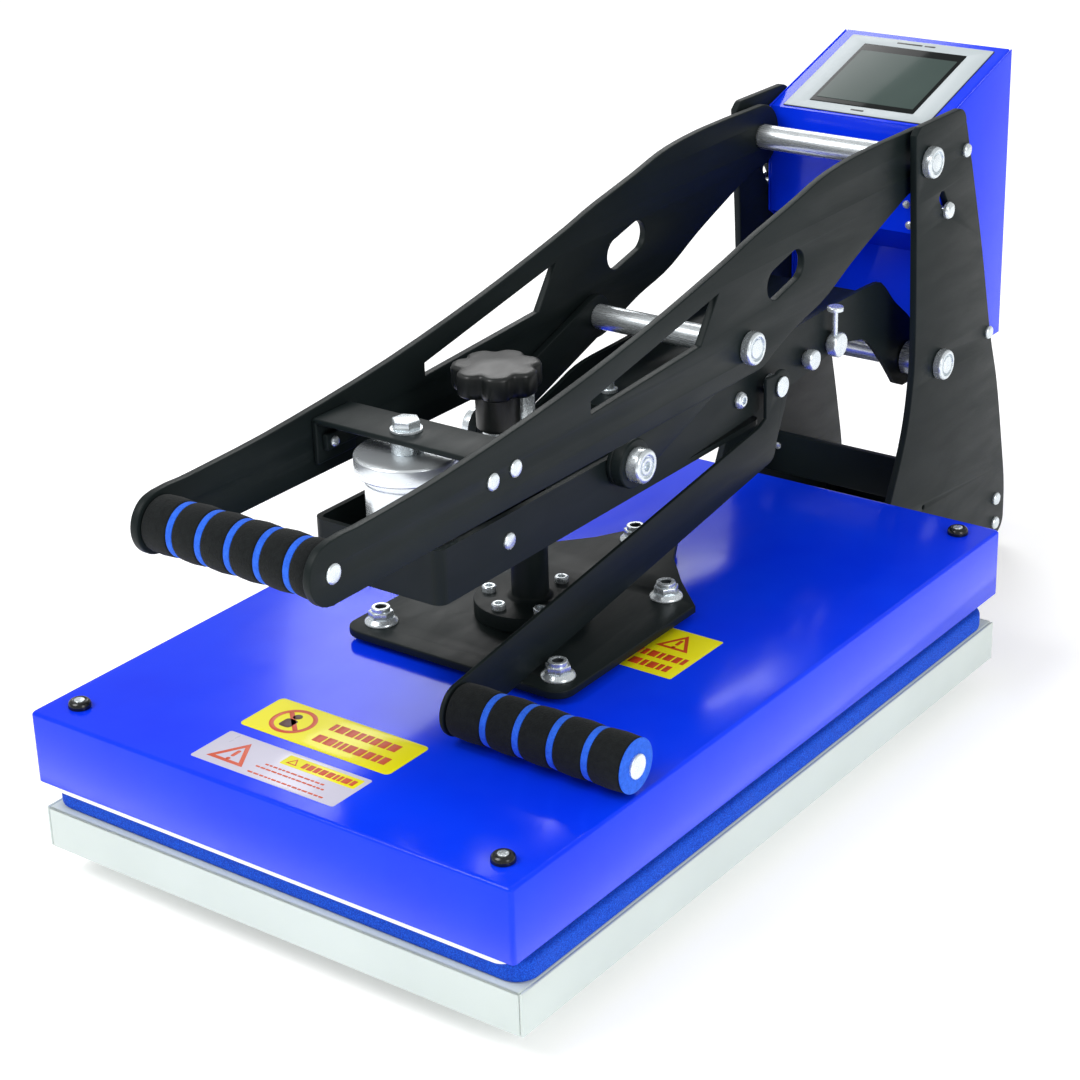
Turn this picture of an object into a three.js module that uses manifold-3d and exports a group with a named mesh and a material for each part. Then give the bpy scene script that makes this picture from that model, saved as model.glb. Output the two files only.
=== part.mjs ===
// Tabletop clamshell heat press: a heated platen carried on a swinging arm closes on a padded bed,
// pushed down and locked by a long toggle handle. Millimetres, +Z up, the operator stands at -Y.
import * as THREE from "three";
import { mergeVertices } from "three/addons/utils/BufferGeometryUtils.js";
import Module from "manifold-3d";

const wasm = await Module();
wasm.setup();

// ---- driving dimensions (the frame here: X = 0 on the centre plane, Y = 0 at the cover's front
// face, Z = 0 at the bottom edge of the bed; the finished group is moved onto its own origin) ----
const GAP = 0.3; // air left between pieces that touch
const COVER = { halfX: 205, front: 0, rear: 626, bottom: 53.8, top: 107.5, wall: 2, corner: 3 };
const HEATER = { inset: 3.5, bottom: 47.8, top: 66, corner: 10 };
const PAD = { halfX: 199, front: 10, rear: 612, bottom: 31.7, top: 47.5, corner: 12 };
const TRAY = { halfX: 205.8, front: 4.7, rear: 620.4, top: 31.4, wall: 2, corner: 3 };
const RAIL = { bottom: -14, halfTrackOut: 78.7, halfTrackIn: 52, wideX: 145, rearTie: 872 };
const FOOT = { radius: 15, height: 8 };
const UPRIGHT = { outer: 85, thick: 6 };
const HANDLE = { outer: 74, thick: 6, tipRadius: 21 };
const ARM = { halfX: 54, wall: 4, floor: 200, front: 131 };
const LINK = { inner: 60, outer: 66, radius: 16 };
const LEVER = { inner: 62.5, outer: 65.5, depth: 38 };
const MOUNT_PLATE = { top: 118.5, thick: 6, halfX: 97, front: 200, rear: 456 };
const BOX = { halfX: 78.5, wall: 2, rear: 866, bottom: 174 };

const HANDLE_PIVOT = [716.3, 360.1];
const ARM_PIVOT = [746.3, 183.4];
const LINK_PIVOT = [470, 279];
const LINK_END = [333, 233.5];
const TIP = [8, 277];
const LEVER_PIVOT = [530, 228];
const LEVER_GRIP = { y: 131, z: 130, radius: 19, from: 66, to: 205 };
const STOP_PIN = [583.6, 232];
const LOCK_PIN = [624.6, 231.5];
const KNOB = { y: 265, radius: 31, bottom: 292, top: 318, lobes: 7 };
const COLUMN = { y: 296, radius: 13.5, top: 252, flange: 41 };
const MAGNET = { y: 169, radius: 29.5, bottom: 205, top: 271 };
const KEEPER = { radius: 36, bottom: 272, top: 285 };
const CROSS_PLATE = { front: 152, rear: 190.6, top: 299.5, thick: 4, drop: 33 };
const CROSS_BOLTS = [[164, 281], [188, 282]];
const STUDS = [[78, 222], [-78, 222], [69, 367], [-69, 367], [-7, 439]];
const ARM_TIE = [489, 228];
const SLOT_BOLT = [749.5, 312.6];
const BOX_BOLT = [778, 355];
const CROSSBAR = { front: 729, rear: 735, bottom: 62, top: 98.5 };

const ROUND = 24; // sides of an ordinary round piece
const ROUND_LARGE = 32;
const ROUND_SMALL = 14;

// ---- materials ----
const material = (color, roughness, metalness) => ({ color, roughness, metalness });
const BLUE = material(0x1230e8, 0.28, 0.1);
const BLACK = material(0x24272a, 0.5, 0.2);
const PALE = material(0xd9dcd8, 0.45, 0.2);
const ALUMINIUM = material(0xc9ccd0, 0.4, 0.9);
const ZINC = material(0xb4b9bf, 0.32, 0.95);
const FOAM = material(0x15161a, 0.95, 0);
const RUBBER = material(0x121316, 0.8, 0);
const PAD_BLUE = material(0x2167e0, 0.85, 0);
const PLASTIC = material(0x1b1c20, 0.42, 0);
const BEZEL = material(0xcdd0d4, 0.5, 0.1);
const SCREEN = material(0x2c3436, 0.12, 0);
const WOOL = material(0xd8d2bd, 0.95, 0);

// ---- geometry helpers ----
function solid(geometry) {
  const plain = geometry.clone();
  plain.deleteAttribute("normal");
  plain.deleteAttribute("uv");
  const merged = mergeVertices(plain, 1e-4);
  return new wasm.Manifold(new wasm.Mesh({
    numProp: 3,
    vertProperties: Float32Array.from(merged.attributes.position.array),
    triVerts: Uint32Array.from(merged.index.array),
  }));
}

function geometryOf(body) {
  const mesh = body.getMesh();
  const geometry = new THREE.BufferGeometry();
  geometry.setAttribute("position", new THREE.BufferAttribute(mesh.vertProperties, 3));
  geometry.setIndex(new THREE.BufferAttribute(mesh.triVerts, 1));
  const flat = geometry.toNonIndexed();
  flat.computeVertexNormals();
  return flat;
}

const join = (...bodies) => bodies.reduce((sum, body) => sum.add(body));
const cut = (body, ...tools) => tools.reduce((rest, tool) => rest.subtract(tool), body);

// Axes turned so that a shape drawn in (Y, Z) is extruded along X.
const ALONG_X = new THREE.Matrix4().makeBasis(
  new THREE.Vector3(0, 1, 0), new THREE.Vector3(0, 0, 1), new THREE.Vector3(1, 0, 0));
// A lathe turns about its own Y: these lay that axis along X, and along Z.
const AXIS_TO_X = new THREE.Matrix4().makeBasis(
  new THREE.Vector3(0, 0, 1), new THREE.Vector3(1, 0, 0), new THREE.Vector3(0, 1, 0));
const AXIS_TO_Z = new THREE.Matrix4().makeBasis(
  new THREE.Vector3(1, 0, 0), new THREE.Vector3(0, 0, 1), new THREE.Vector3(0, -1, 0));

function extrude(shape, depth, curveSegments = 8) {
  return new THREE.ExtrudeGeometry(shape, { depth, bevelEnabled: false, curveSegments });
}

function sidePlate(shape, x0, x1, curveSegments) {
  return solid(extrude(shape, x1 - x0, curveSegments).applyMatrix4(ALONG_X).translate(x0, 0, 0));
}

function flatPlate(shape, z0, z1, curveSegments) {
  return solid(extrude(shape, z1 - z0, curveSegments).translate(0, 0, z0));
}

// profile: [position along the axis, radius] pairs, starting and ending on the axis.
function turned(profile, sides) {
  const points = profile.map(([along, radius]) => new THREE.Vector2(radius, along));
  return new THREE.LatheGeometry(points, sides);
}

function turnedX(profile, [y, z], sides = ROUND) {
  return solid(turned(profile, sides).applyMatrix4(AXIS_TO_X).translate(0, y, z));
}

function turnedZ(profile, x, y, sides = ROUND) {
  return solid(turned(profile, sides).applyMatrix4(AXIS_TO_Z).translate(x, y, 0));
}

const rodProfile = (from, to, radius) => [[from, 0], [from, radius], [to, radius], [to, 0]];
const rodX = (x0, x1, radius, at, sides) => turnedX(rodProfile(x0, x1, radius), at, sides);
const rodZ = (z0, z1, radius, x, y, sides) => turnedZ(rodProfile(z0, z1, radius), x, y, sides);

function block(x0, x1, y0, y1, z0, z1) {
  const box = new THREE.BoxGeometry(x1 - x0, y1 - y0, z1 - z0);
  return solid(box.translate((x0 + x1) / 2, (y0 + y1) / 2, (z0 + z1) / 2));
}

function hexZ(z0, z1, acrossFlats, x, y) {
  const radius = acrossFlats / Math.sqrt(3);
  return rodZ(z0, z1, radius, x, y, 6);
}

function roundedRect(x0, x1, y0, y1, r) {
  const shape = new THREE.Shape();
  shape.moveTo(x0 + r, y0);
  shape.lineTo(x1 - r, y0).absarc(x1 - r, y0 + r, r, -Math.PI / 2, 0, false);
  shape.lineTo(x1, y1 - r).absarc(x1 - r, y1 - r, r, 0, Math.PI / 2, false);
  shape.lineTo(x0 + r, y1).absarc(x0 + r, y1 - r, r, Math.PI / 2, Math.PI, false);
  shape.lineTo(x0, y0 + r).absarc(x0 + r, y0 + r, r, Math.PI, Math.PI * 1.5, false);
  return shape;
}

function polygon(points) {
  const shape = new THREE.Shape();
  points.forEach(([a, b], i) => (i ? shape.lineTo(a, b) : shape.moveTo(a, b)));
  return shape;
}

const vectors = (points) => points.map(([a, b]) => new THREE.Vector2(a, b));
const degrees = (angle) => THREE.MathUtils.degToRad(angle);

function obround(y, z, length, radius, angle) {
  const half = length / 2 - radius;
  const [dy, dz] = [half * Math.cos(angle), half * Math.sin(angle)];
  const shape = new THREE.Shape();
  shape.absarc(y + dy, z + dz, radius, angle - Math.PI / 2, angle + Math.PI / 2, false);
  shape.absarc(y - dy, z - dz, radius, angle + Math.PI / 2, angle + Math.PI * 1.5, false);
  return shape;
}

const group = new THREE.Group();
group.name = "heat_press";

function add(name, body, look) {
  const mesh = new THREE.Mesh(geometryOf(body), new THREE.MeshStandardMaterial({ ...look, name: "" }));
  mesh.name = name;
  group.add(mesh);
  return mesh;
}

const sides = [["left", -1], ["right", 1]];
// A piece built for the right-hand side (+X), or its mirror image for the left.
function handed(name, sign, body, look) {
  add(name, sign > 0 ? body : body.mirror([1, 0, 0]), look);
}

// ---- frame: welded base, feet, bed, pad ----
const railTop = TRAY.top - TRAY.wall - GAP;
const underBed = -GAP;
const railFront = 65;
const railMiddle = [520, 555];
const railDeep = 35; // depth of the cross members along Y
const sheet = 3; // folded sheet of the rails, open underneath
const TIE = { top: 35, sheet: 4, depth: 22, footPlate: 34 };
// A channel of folded sheet, open underneath.
function channel(x0, x1, y0, y1, top) {
  return [block(x0, x1, y0, y1, RAIL.bottom, top),
    block(x0 + sheet, x1 - sheet, y0 + sheet, y1 - sheet, RAIL.bottom - 1, top - sheet)];
}
const rearSheet = RAIL.rearTie - TIE.footPlate;
const channels = [
  ...sides.flatMap(([, s]) => {
    const [a, b] = s > 0 ? [RAIL.halfTrackIn, RAIL.halfTrackOut] : [-RAIL.halfTrackOut, -RAIL.halfTrackIn];
    return [
      channel(a, b, railFront, TRAY.rear - 6, railTop),
      channel(a, b, railFront, rearSheet + 6, underBed),
    ];
  }),
  channel(-RAIL.wideX, RAIL.wideX, railFront, railFront + railDeep, railTop),
  channel(-RAIL.wideX, RAIL.wideX, railMiddle[0], railMiddle[1], railTop),
];
const hollows = channels.map(([, hollow]) => hollow);
const shells = channels.map(([outer]) => outer);
const halfTie = RAIL.halfTrackOut;
const footSeat = (s) => block(Math.min(s * 106, s * RAIL.wideX), Math.max(s * 106, s * RAIL.wideX),
  railFront, railFront + railDeep, RAIL.bottom, RAIL.bottom + sheet);
const base = join(
  cut(join(...shells), ...hollows),
  footSeat(-1),
  footSeat(1),
  block(-halfTie, halfTie, rearSheet, RAIL.rearTie, RAIL.bottom, RAIL.bottom + TIE.sheet),
  block(-halfTie, halfTie, RAIL.rearTie - TIE.sheet, RAIL.rearTie, RAIL.bottom, TIE.top),
  ...sides.map(([, s]) => block(Math.min(s * halfTie, s * (halfTie - TIE.sheet)),
    Math.max(s * halfTie, s * (halfTie - TIE.sheet)), RAIL.rearTie - TIE.depth, RAIL.rearTie,
    RAIL.bottom, TIE.top)),
);
add("base_frame", base, BLACK);

const footSpots = [["foot_front_left", -125, 82.5], ["foot_front_right", 125, 82.5],
  ["foot_rear_left", -63, 856], ["foot_rear_right", 63, 856]];
for (const [name, x, y] of footSpots) {
  const top = RAIL.bottom - GAP;
  const foot = turnedZ([[top - FOOT.height, 0], [top - FOOT.height, FOOT.radius - 2],
    [top, FOOT.radius], [top, 0]], x, y, ROUND_SMALL);
  add(name, foot, RUBBER);
}

const tray = cut(
  flatPlate(roundedRect(-TRAY.halfX, TRAY.halfX, TRAY.front, TRAY.rear, TRAY.corner), 0, TRAY.top, 3),
  block(-TRAY.halfX + TRAY.wall, TRAY.halfX - TRAY.wall, TRAY.front + TRAY.wall,
    TRAY.rear - TRAY.wall, -5, TRAY.top - TRAY.wall),
);
add("bed_tray", tray, PALE);
add("silicone_pad", flatPlate(
  roundedRect(-PAD.halfX, PAD.halfX, PAD.front, PAD.rear, PAD.corner), PAD.bottom, PAD.top, 6), PAD_BLUE);

// ---- frame: uprights ----
function uprightShape() {
  const shape = new THREE.Shape();
  shape.moveTo(704, 391);
  shape.lineTo(695, 385);
  shape.splineThru(vectors([[698, 334], [701, 290], [704, 216], [702, 176], [693, 135], [672, 88],
    [648, 46], [634, 16], [628, underBed]]));
  shape.lineTo(560, underBed);
  shape.lineTo(560, RAIL.bottom);
  shape.lineTo(863, RAIL.bottom);
  shape.absarc(863, RAIL.bottom + 15, 15, -Math.PI / 2, 0, false);
  shape.splineThru(vectors([[877, 30], [871, 62], [854, 133], [836, 186], [817, 256], [795, 328],
    [779, 376]]));
  shape.absarc(765, 378, 13, 0, Math.PI / 2, false);
  shape.lineTo(732, 391);
  return shape;
}
const SHAFT_NECK = 8;
const SMALL_SHANK = 3;
const plateHoles = (x0, x1) => [
  rodX(x0, x1, SHAFT_NECK + GAP, HANDLE_PIVOT),
  rodX(x0, x1, SHAFT_NECK + GAP, ARM_PIVOT),
  rodX(x0, x1, SMALL_SHANK + GAP, BOX_BOLT, ROUND_SMALL),
  rodX(x0, x1, 2, [727, 62], ROUND_SMALL),
];
const slotAngle = Math.atan2(327 - SLOT_BOLT[1], 740 - SLOT_BOLT[0]);
for (const [side, sign] of sides) {
  const inner = UPRIGHT.outer - UPRIGHT.thick;
  const slot = sidePlate(obround(745.5, 318.5, 26, 4.5, slotAngle), inner - 1, UPRIGHT.outer + 1);
  const plate = cut(sidePlate(uprightShape(), inner, UPRIGHT.outer, 4),
    ...plateHoles(inner - 1, UPRIGHT.outer + 1), slot);
  handed(`upright_${side}`, sign, plate, BLACK);
}
add("crossbar", block(-78.7, 78.7, CROSSBAR.front, CROSSBAR.rear, CROSSBAR.bottom, CROSSBAR.top), BLACK);

// ---- frame: stepped pivot shafts and the rods that hold the control box ----
// middle: [half length, radius] steps from the centre out; then neck through the plate and the head.
function steppedRod(steps, neckRadius, plateOut, headRadius, headThick, at, count = ROUND) {
  const half = [];
  steps.forEach(([x, radius], i) => {
    if (i) half.push([steps[i - 1][0], radius]);
    half.push([x, radius]);
  });
  half.push([steps.at(-1)[0], neckRadius], [plateOut + GAP, neckRadius], [plateOut + GAP, headRadius]);
  half.push([plateOut + GAP + headThick - 1.2, headRadius], [plateOut + GAP + headThick, headRadius - 1.2]);
  const end = plateOut + GAP + headThick;
  const mirrored = half.map(([x, r]) => [-x, r]).reverse();
  return turnedX([[-end, 0], ...mirrored, ...half, [end, 0]], at, count);
}
const uprightInner = UPRIGHT.outer - UPRIGHT.thick;
add("handle_pivot_shaft", steppedRod([[HANDLE.outer - HANDLE.thick - 1.5, 10], [uprightInner - GAP, 9]],
  SHAFT_NECK, UPRIGHT.outer, 12.5, 7.5, HANDLE_PIVOT), ZINC);
add("arm_pivot_shaft", steppedRod([[ARM.halfX + 1, 9], [uprightInner - GAP, 14]],
  SHAFT_NECK, UPRIGHT.outer, 12.5, 7.5, ARM_PIVOT), ZINC);
add("box_bolt", steppedRod([[uprightInner - GAP, SMALL_SHANK]], SMALL_SHANK, UPRIGHT.outer, 5.5, 4,
  BOX_BOLT, ROUND_SMALL), ZINC);
add("slot_bolt", steppedRod([[uprightInner - GAP, SMALL_SHANK]], SMALL_SHANK, UPRIGHT.outer, 7, 5,
  SLOT_BOLT, ROUND_SMALL), ZINC);

// ---- frame: control box with its display, board, inlet and switch ----
const panelAngle = Math.atan2(417.7 - 379, 866 - 743);
const panelTop = [866, 417.7];
// A point on the sloping panel: "down" from its rear edge, "out" from its face.
function onPanel(down, out) {
  return [panelTop[0] - down * Math.cos(panelAngle) - out * Math.sin(panelAngle),
    panelTop[1] - down * Math.sin(panelAngle) + out * Math.cos(panelAngle)];
}
function panelStrip(down0, down1, out0, out1, halfX) {
  const corners = [onPanel(down0, out0), onPanel(down0, out1), onPanel(down1, out1), onPanel(down1, out0)];
  return sidePlate(polygon(corners), -halfX, halfX);
}
const boxOutline = [[BOX.rear, BOX.bottom], [BOX.rear, panelTop[1]], [743, 379], [743, 290],
  [782, 262], [782, BOX.bottom]];
const w = BOX.wall;
const boxInside = [[BOX.rear - w, BOX.bottom + w], [BOX.rear - w, panelTop[1] - 2.7], [743 + w, 379 - 2.1],
  [743 + w, 291], [782 + w, 263], [782 + w, BOX.bottom + w]];
const INLET = { x: -28, z: 214, halfX: 13.5, halfZ: 10 };
const SWITCH = { x: 30, z: 214, halfX: 7, halfZ: 10.5 };
const rearWindow = (spot) => block(spot.x - spot.halfX - GAP, spot.x + spot.halfX + GAP,
  BOX.rear - w - 1, BOX.rear + 1, spot.z - spot.halfZ - GAP, spot.z + spot.halfZ + GAP);
const DISPLAY = { halfX: 48.7, from: 19.3, to: 115.4 };
const box = cut(
  sidePlate(polygon(boxOutline), -BOX.halfX, BOX.halfX),
  sidePlate(polygon(boxInside), -BOX.halfX + w, BOX.halfX - w),
  panelStrip(DISPLAY.from, DISPLAY.to, -4, 2, DISPLAY.halfX),
  rearWindow(INLET), rearWindow(SWITCH),
  rodZ(BOX.bottom - 1, BOX.bottom + w + 1, 8, 0, 845, ROUND_SMALL),
  rodX(-90, 90, SMALL_SHANK + GAP, BOX_BOLT, ROUND_SMALL),
  rodX(-90, 90, SMALL_SHANK + GAP, SLOT_BOLT, ROUND_SMALL),
);
add("control_box", box, BLUE);
const bezel = cut(
  panelStrip(7.7, 125.5, GAP, 1.8, 65.9),
  panelStrip(DISPLAY.from + 1, DISPLAY.to - 1, -1, 3, DISPLAY.halfX - 1),
);
add("display_bezel", bezel, BEZEL);
add("display_glass", panelStrip(DISPLAY.from + 1 + GAP, DISPLAY.to - 1 - GAP, -1.8, 1.2,
  DISPLAY.halfX - 1 - GAP), SCREEN);
const board = join(
  panelStrip(DISPLAY.from - 6, DISPLAY.to - 2, -14, -12, 60),
  panelStrip(DISPLAY.from + 4, DISPLAY.to - 4, -12.1, -1.8 - GAP, 44),
  panelStrip(DISPLAY.from + 10, DISPLAY.from + 50, -34, -13.9, 30),
);
add("control_board", board, PLASTIC);
const inlet = cut(
  join(
    block(INLET.x - INLET.halfX, INLET.x + INLET.halfX, BOX.rear - 24, BOX.rear + 1,
      INLET.z - INLET.halfZ, INLET.z + INLET.halfZ),
    block(INLET.x - INLET.halfX - 5, INLET.x + INLET.halfX + 5, BOX.rear + GAP, BOX.rear + 3,
      INLET.z - INLET.halfZ - 3, INLET.z + INLET.halfZ + 3),
  ),
  block(INLET.x - INLET.halfX + 2, INLET.x + INLET.halfX - 2, BOX.rear - 16, BOX.rear + 4,
    INLET.z - INLET.halfZ + 2, INLET.z + INLET.halfZ - 2),
);
const pins = [-7, 0, 7].map((dx, i) => block(INLET.x + dx - 1, INLET.x + dx + 1, BOX.rear - 18,
  BOX.rear - 3, INLET.z - 2 + (i === 1 ? 3 : -1), INLET.z + 2 + (i === 1 ? 3 : -1)));
add("power_inlet", join(inlet, ...pins), PLASTIC);
const rockerProfile = [[BOX.rear - 12, SWITCH.z - SWITCH.halfZ],
  [BOX.rear + 4.5, SWITCH.z - SWITCH.halfZ + 1],
  [BOX.rear + 2, SWITCH.z], [BOX.rear + 2, SWITCH.z + SWITCH.halfZ - 0.5],
  [BOX.rear - 12, SWITCH.z + SWITCH.halfZ - 3]];
const rocker = sidePlate(polygon(rockerProfile), SWITCH.x - SWITCH.halfX, SWITCH.x + SWITCH.halfX);
add("power_switch", rocker, PLASTIC);

// ---- handle: two plates, grip, cross plate with the magnet's keeper ----
function handleShape() {
  const shape = new THREE.Shape();
  const [py, pz] = HANDLE_PIVOT;
  shape.moveTo(TIP[0], TIP[1] - HANDLE.tipRadius + 0.5);
  shape.lineTo(485, 257);
  shape.splineThru(vectors([[505, 264], [537, 275], [578, 285], [619, 303], [661, 319], [700, 333]]));
  shape.absarc(py, pz, 25.6, degrees(-104), degrees(92), false);
  shape.splineThru(vectors([[660, 386], [615, 385], [574, 381], [534, 372], [480, 361], [436, 350],
    [340, 330], [233, 313], [124, 302], [50, 298.5], [15, 298]]));
  shape.absarc(TIP[0], TIP[1], HANDLE.tipRadius, Math.PI / 2, Math.PI * 1.5, false);
  return shape;
}
const handleIn = HANDLE.outer - HANDLE.thick;
const windowShape = polygon([[273, 291], [407, 299], [430, 331], [273, 300.5]]);
const LIGHTENING_SLOT = obround(521, 320, 52, 12, degrees(14));
const throughHandle = (radius, at, count) => rodX(handleIn - 1, HANDLE.outer + 1, radius, at, count);
for (const [side, sign] of sides) {
  const plate = cut(
    sidePlate(handleShape(), handleIn, HANDLE.outer, 3),
    sidePlate(windowShape, handleIn - 1, HANDLE.outer + 1),
    sidePlate(LIGHTENING_SLOT, handleIn - 1, HANDLE.outer + 1),
    throughHandle(9 + GAP, HANDLE_PIVOT),
    throughHandle(SHAFT_NECK + GAP, LINK_PIVOT),
    throughHandle(4 + GAP, TIP, ROUND_SMALL),
    ...CROSS_BOLTS.map((at) => throughHandle(SMALL_SHANK + GAP, at, ROUND_SMALL)),
  );
  handed(`handle_plate_${side}`, sign, plate, BLACK);
}
add("grip_rod", steppedRod([[handleIn - GAP, 12]], 4, HANDLE.outer, 6.5, 2.6, TIP), ZINC);
const foamSleeve = (x0, x1, bore, radius, at) => turnedX([[x0, bore], [x0, radius - 1.5], [x0 + 1.5, radius],
  [x1 - 1.5, radius], [x1, radius - 1.5], [x1, bore], [x0, bore]], at, ROUND_LARGE);
add("grip_foam", foamSleeve(-handleIn + 0.6, handleIn - 0.6, 12 + GAP, 19, TIP), FOAM);

const plateEdge = handleIn - GAP;
const c = CROSS_PLATE;
const crossPlate = cut(
  join(
    block(-plateEdge, plateEdge, c.front, c.rear, c.top - c.thick, c.top),
    ...sides.map(([, s]) => block(Math.min(s * plateEdge, s * (plateEdge - c.thick)),
      Math.max(s * plateEdge, s * (plateEdge - c.thick)), c.front, c.rear, c.top - c.drop, c.top)),
  ),
  rodZ(c.top - 10, c.top + 1, 5 + GAP, 0, MAGNET.y, ROUND_SMALL),
  ...CROSS_BOLTS.map((at) => rodX(-90, 90, SMALL_SHANK + GAP, at, ROUND_SMALL)),
);
add("cross_plate", crossPlate, BLACK);
for (const [side, sign] of sides) {
  const stud = ([y, z]) => turnedX([[57, 0], [57, SMALL_SHANK], [HANDLE.outer + GAP, SMALL_SHANK],
    [HANDLE.outer + GAP, 6], [HANDLE.outer + 3.3, 6], [HANDLE.outer + 4.3, 4.5], [HANDLE.outer + 4.3, 0]],
  [y, z], ROUND_SMALL);
  const strapOut = plateEdge - c.thick - GAP;
  const strap = block(strapOut - 4, strapOut, 157, 190, 276, 287);
  handed(`cross_studs_${side}`, sign, join(strap, ...CROSS_BOLTS.map(stud)), ZINC);
}
const keeper = cut(
  turnedZ([[KEEPER.bottom, 0], [KEEPER.bottom, KEEPER.radius - 1], [KEEPER.bottom + 1, KEEPER.radius],
    [KEEPER.top - 1, KEEPER.radius], [KEEPER.top, KEEPER.radius - 1], [KEEPER.top, 0]],
  0, MAGNET.y, ROUND_LARGE),
  rodZ(KEEPER.bottom + 4, KEEPER.top + 1, 5 + GAP, 0, MAGNET.y, ROUND_SMALL),
);
add("keeper_disc", keeper, ZINC);
const keeperBolt = join(
  turnedZ([[KEEPER.bottom + 4 + GAP, 0], [KEEPER.bottom + 4 + GAP, 5], [KEEPER.top + GAP, 5],
    [KEEPER.top + GAP, 11], [c.top - c.thick - GAP, 11], [c.top - c.thick - GAP, 5], [c.top + GAP, 5],
    [c.top + GAP, 11], [c.top + 2, 11], [c.top + 2, 0]], 0, MAGNET.y),
  hexZ(c.top + 1.5, c.top + 8, 17, 0, MAGNET.y),
);
add("keeper_bolt", keeperBolt, ZINC);

// ---- links: one on each side between handle and arm, on a common pivot rod ----
const linkSteps = [[LINK.inner - 1, 9.5], [handleIn - GAP, 9]];
add("link_shaft", steppedRod(linkSteps, SHAFT_NECK, HANDLE.outer, 12.5, 7.7,
  LINK_PIVOT), ZINC);
const linkAngle = Math.atan2(LINK_PIVOT[1] - LINK_END[1], LINK_PIVOT[0] - LINK_END[0]);
const linkLength = Math.hypot(LINK_PIVOT[1] - LINK_END[1], LINK_PIVOT[0] - LINK_END[0]);
const BOSS = { inner: 54.6, radius: 18, bolt: 12.5, head: 78 };
for (const [side, sign] of sides) {
  const mid = [(LINK_PIVOT[0] + LINK_END[0]) / 2, (LINK_PIVOT[1] + LINK_END[1]) / 2];
  const bar = sidePlate(obround(mid[0], mid[1], linkLength + 2 * LINK.radius, LINK.radius, linkAngle),
    LINK.inner, LINK.outer, 10);
  const boss = rodX(BOSS.inner, HANDLE.outer - 6 - 0.8, BOSS.radius, LINK_END);
  const plate = cut(join(bar, boss),
    rodX(50, 80, 9 + GAP, LINK_PIVOT),
    rodX(50, 80, SHAFT_NECK + GAP, LINK_END));
  handed(`link_${side}`, sign, plate, BLACK);
  const bolt = cut(
    turnedX([[BOSS.inner, 0], [BOSS.inner, SHAFT_NECK], [67.5, SHAFT_NECK], [67.5, BOSS.bolt],
      [BOSS.head - 3, BOSS.bolt], [BOSS.head, BOSS.bolt - 4], [BOSS.head, 0]], LINK_END),
    rodX(BOSS.head - 4, BOSS.head + 1, 4.6, LINK_END, 6),
  );
  handed(`link_bolt_${side}`, sign, bolt, ZINC);
}

// ---- arm: open channel in front, closing up to a gooseneck at its pivot ----
function armSide() {
  const shape = new THREE.Shape();
  const [py, pz] = ARM_PIVOT;
  shape.moveTo(ARM.front, ARM.floor);
  shape.lineTo(390, ARM.floor);
  shape.splineThru(vectors([[430, 205], [500, 209], [546, 215], [588, 219], [635, 226], [666, 222],
    [684, 214], [708, 190], [728, 166]]));
  shape.absarc(py, pz, 24, degrees(-125), degrees(60), false);
  shape.splineThru(vectors([[749, 218], [724, 238], [705, 257], [690, 262], [628, 263], [566, 261],
    [500, 256], [437, 254], [405, 246], [380, 239]]));
  shape.lineTo(ARM.front, 239);
  return shape;
}
const wallIn = ARM.halfX - ARM.wall;
const ARM_FLOOR_THICK = 4;
const floorTop = ARM.floor + ARM_FLOOR_THICK;
const channelFloor = flatPlate(roundedRect(-ARM.halfX, ARM.halfX, ARM.front, 520, 8), ARM.floor, floorTop, 4);
const channelFront = cut(
  flatPlate(roundedRect(-ARM.halfX, ARM.halfX, ARM.front, 200, 8), ARM.floor, 239, 4),
  flatPlate(roundedRect(-wallIn, wallIn, ARM.front + ARM.wall, 210, 4), floorTop, 240, 4),
  block(-60, 60, 160, 210, 190, 250),
);
const walls = sides.map(([, s]) => cut(
  sidePlate(armSide(), Math.min(s * wallIn, s * ARM.halfX), Math.max(s * wallIn, s * ARM.halfX), 4),
  block(-60, 60, ARM.front - 1, 145, 190, 250),
));
const goosePlate = block(-wallIn - 0.5, wallIn + 0.5, 560, 700, 246, 250);
const bridge = block(-wallIn - 0.5, wallIn + 0.5, 398, 540, 236, 240);
const spindleBoss = rodZ(floorTop - 0.5, 222, 15, 0, KNOB.y);
const arm = cut(
  join(channelFloor, channelFront, ...walls, goosePlate, bridge, spindleBoss),
  rodZ(190, 230, COLUMN.radius + GAP, 0, COLUMN.y),
  rodZ(190, 230, 6 + GAP, 0, KNOB.y, ROUND_SMALL),
  rodX(-60, 60, 9 + GAP, ARM_PIVOT),
  rodX(-60, 60, 4 + GAP, ARM_TIE, ROUND_SMALL),
  rodX(40, 60, 5 + GAP, LEVER_PIVOT, ROUND_SMALL),
  rodX(40, 60, 4 + GAP, STOP_PIN, ROUND_SMALL),
  rodX(40, 60, 5 + GAP, LOCK_PIN, ROUND_SMALL),
  rodZ(234, 242, 5, -46, 478, ROUND_SMALL),
);
add("arm_shell", arm, BLACK);
const magnet = turnedZ([[floorTop + GAP, 0], [floorTop + GAP, MAGNET.radius - 4],
  [MAGNET.bottom + 5, MAGNET.radius], [MAGNET.top - 1, MAGNET.radius], [MAGNET.top, MAGNET.radius - 1],
  [MAGNET.top, 0]], 0, MAGNET.y, ROUND_LARGE);
add("electromagnet", magnet, ZINC);
add("arm_tie", steppedRod([[wallIn, 4]], 4, ARM.halfX, 6.5, 4.5, ARM_TIE, ROUND_SMALL), ZINC);
function sidePin(shank, collar, head, from, to, at) {
  return turnedX([[wallIn - 5, 0], [wallIn - 5, shank], [ARM.halfX + GAP, shank],
    [ARM.halfX + GAP, collar], [from, collar], [from, head], [to - 1, head],
    [to, head - 1], [to, 0]], at, ROUND_SMALL + 4);
}
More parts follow.
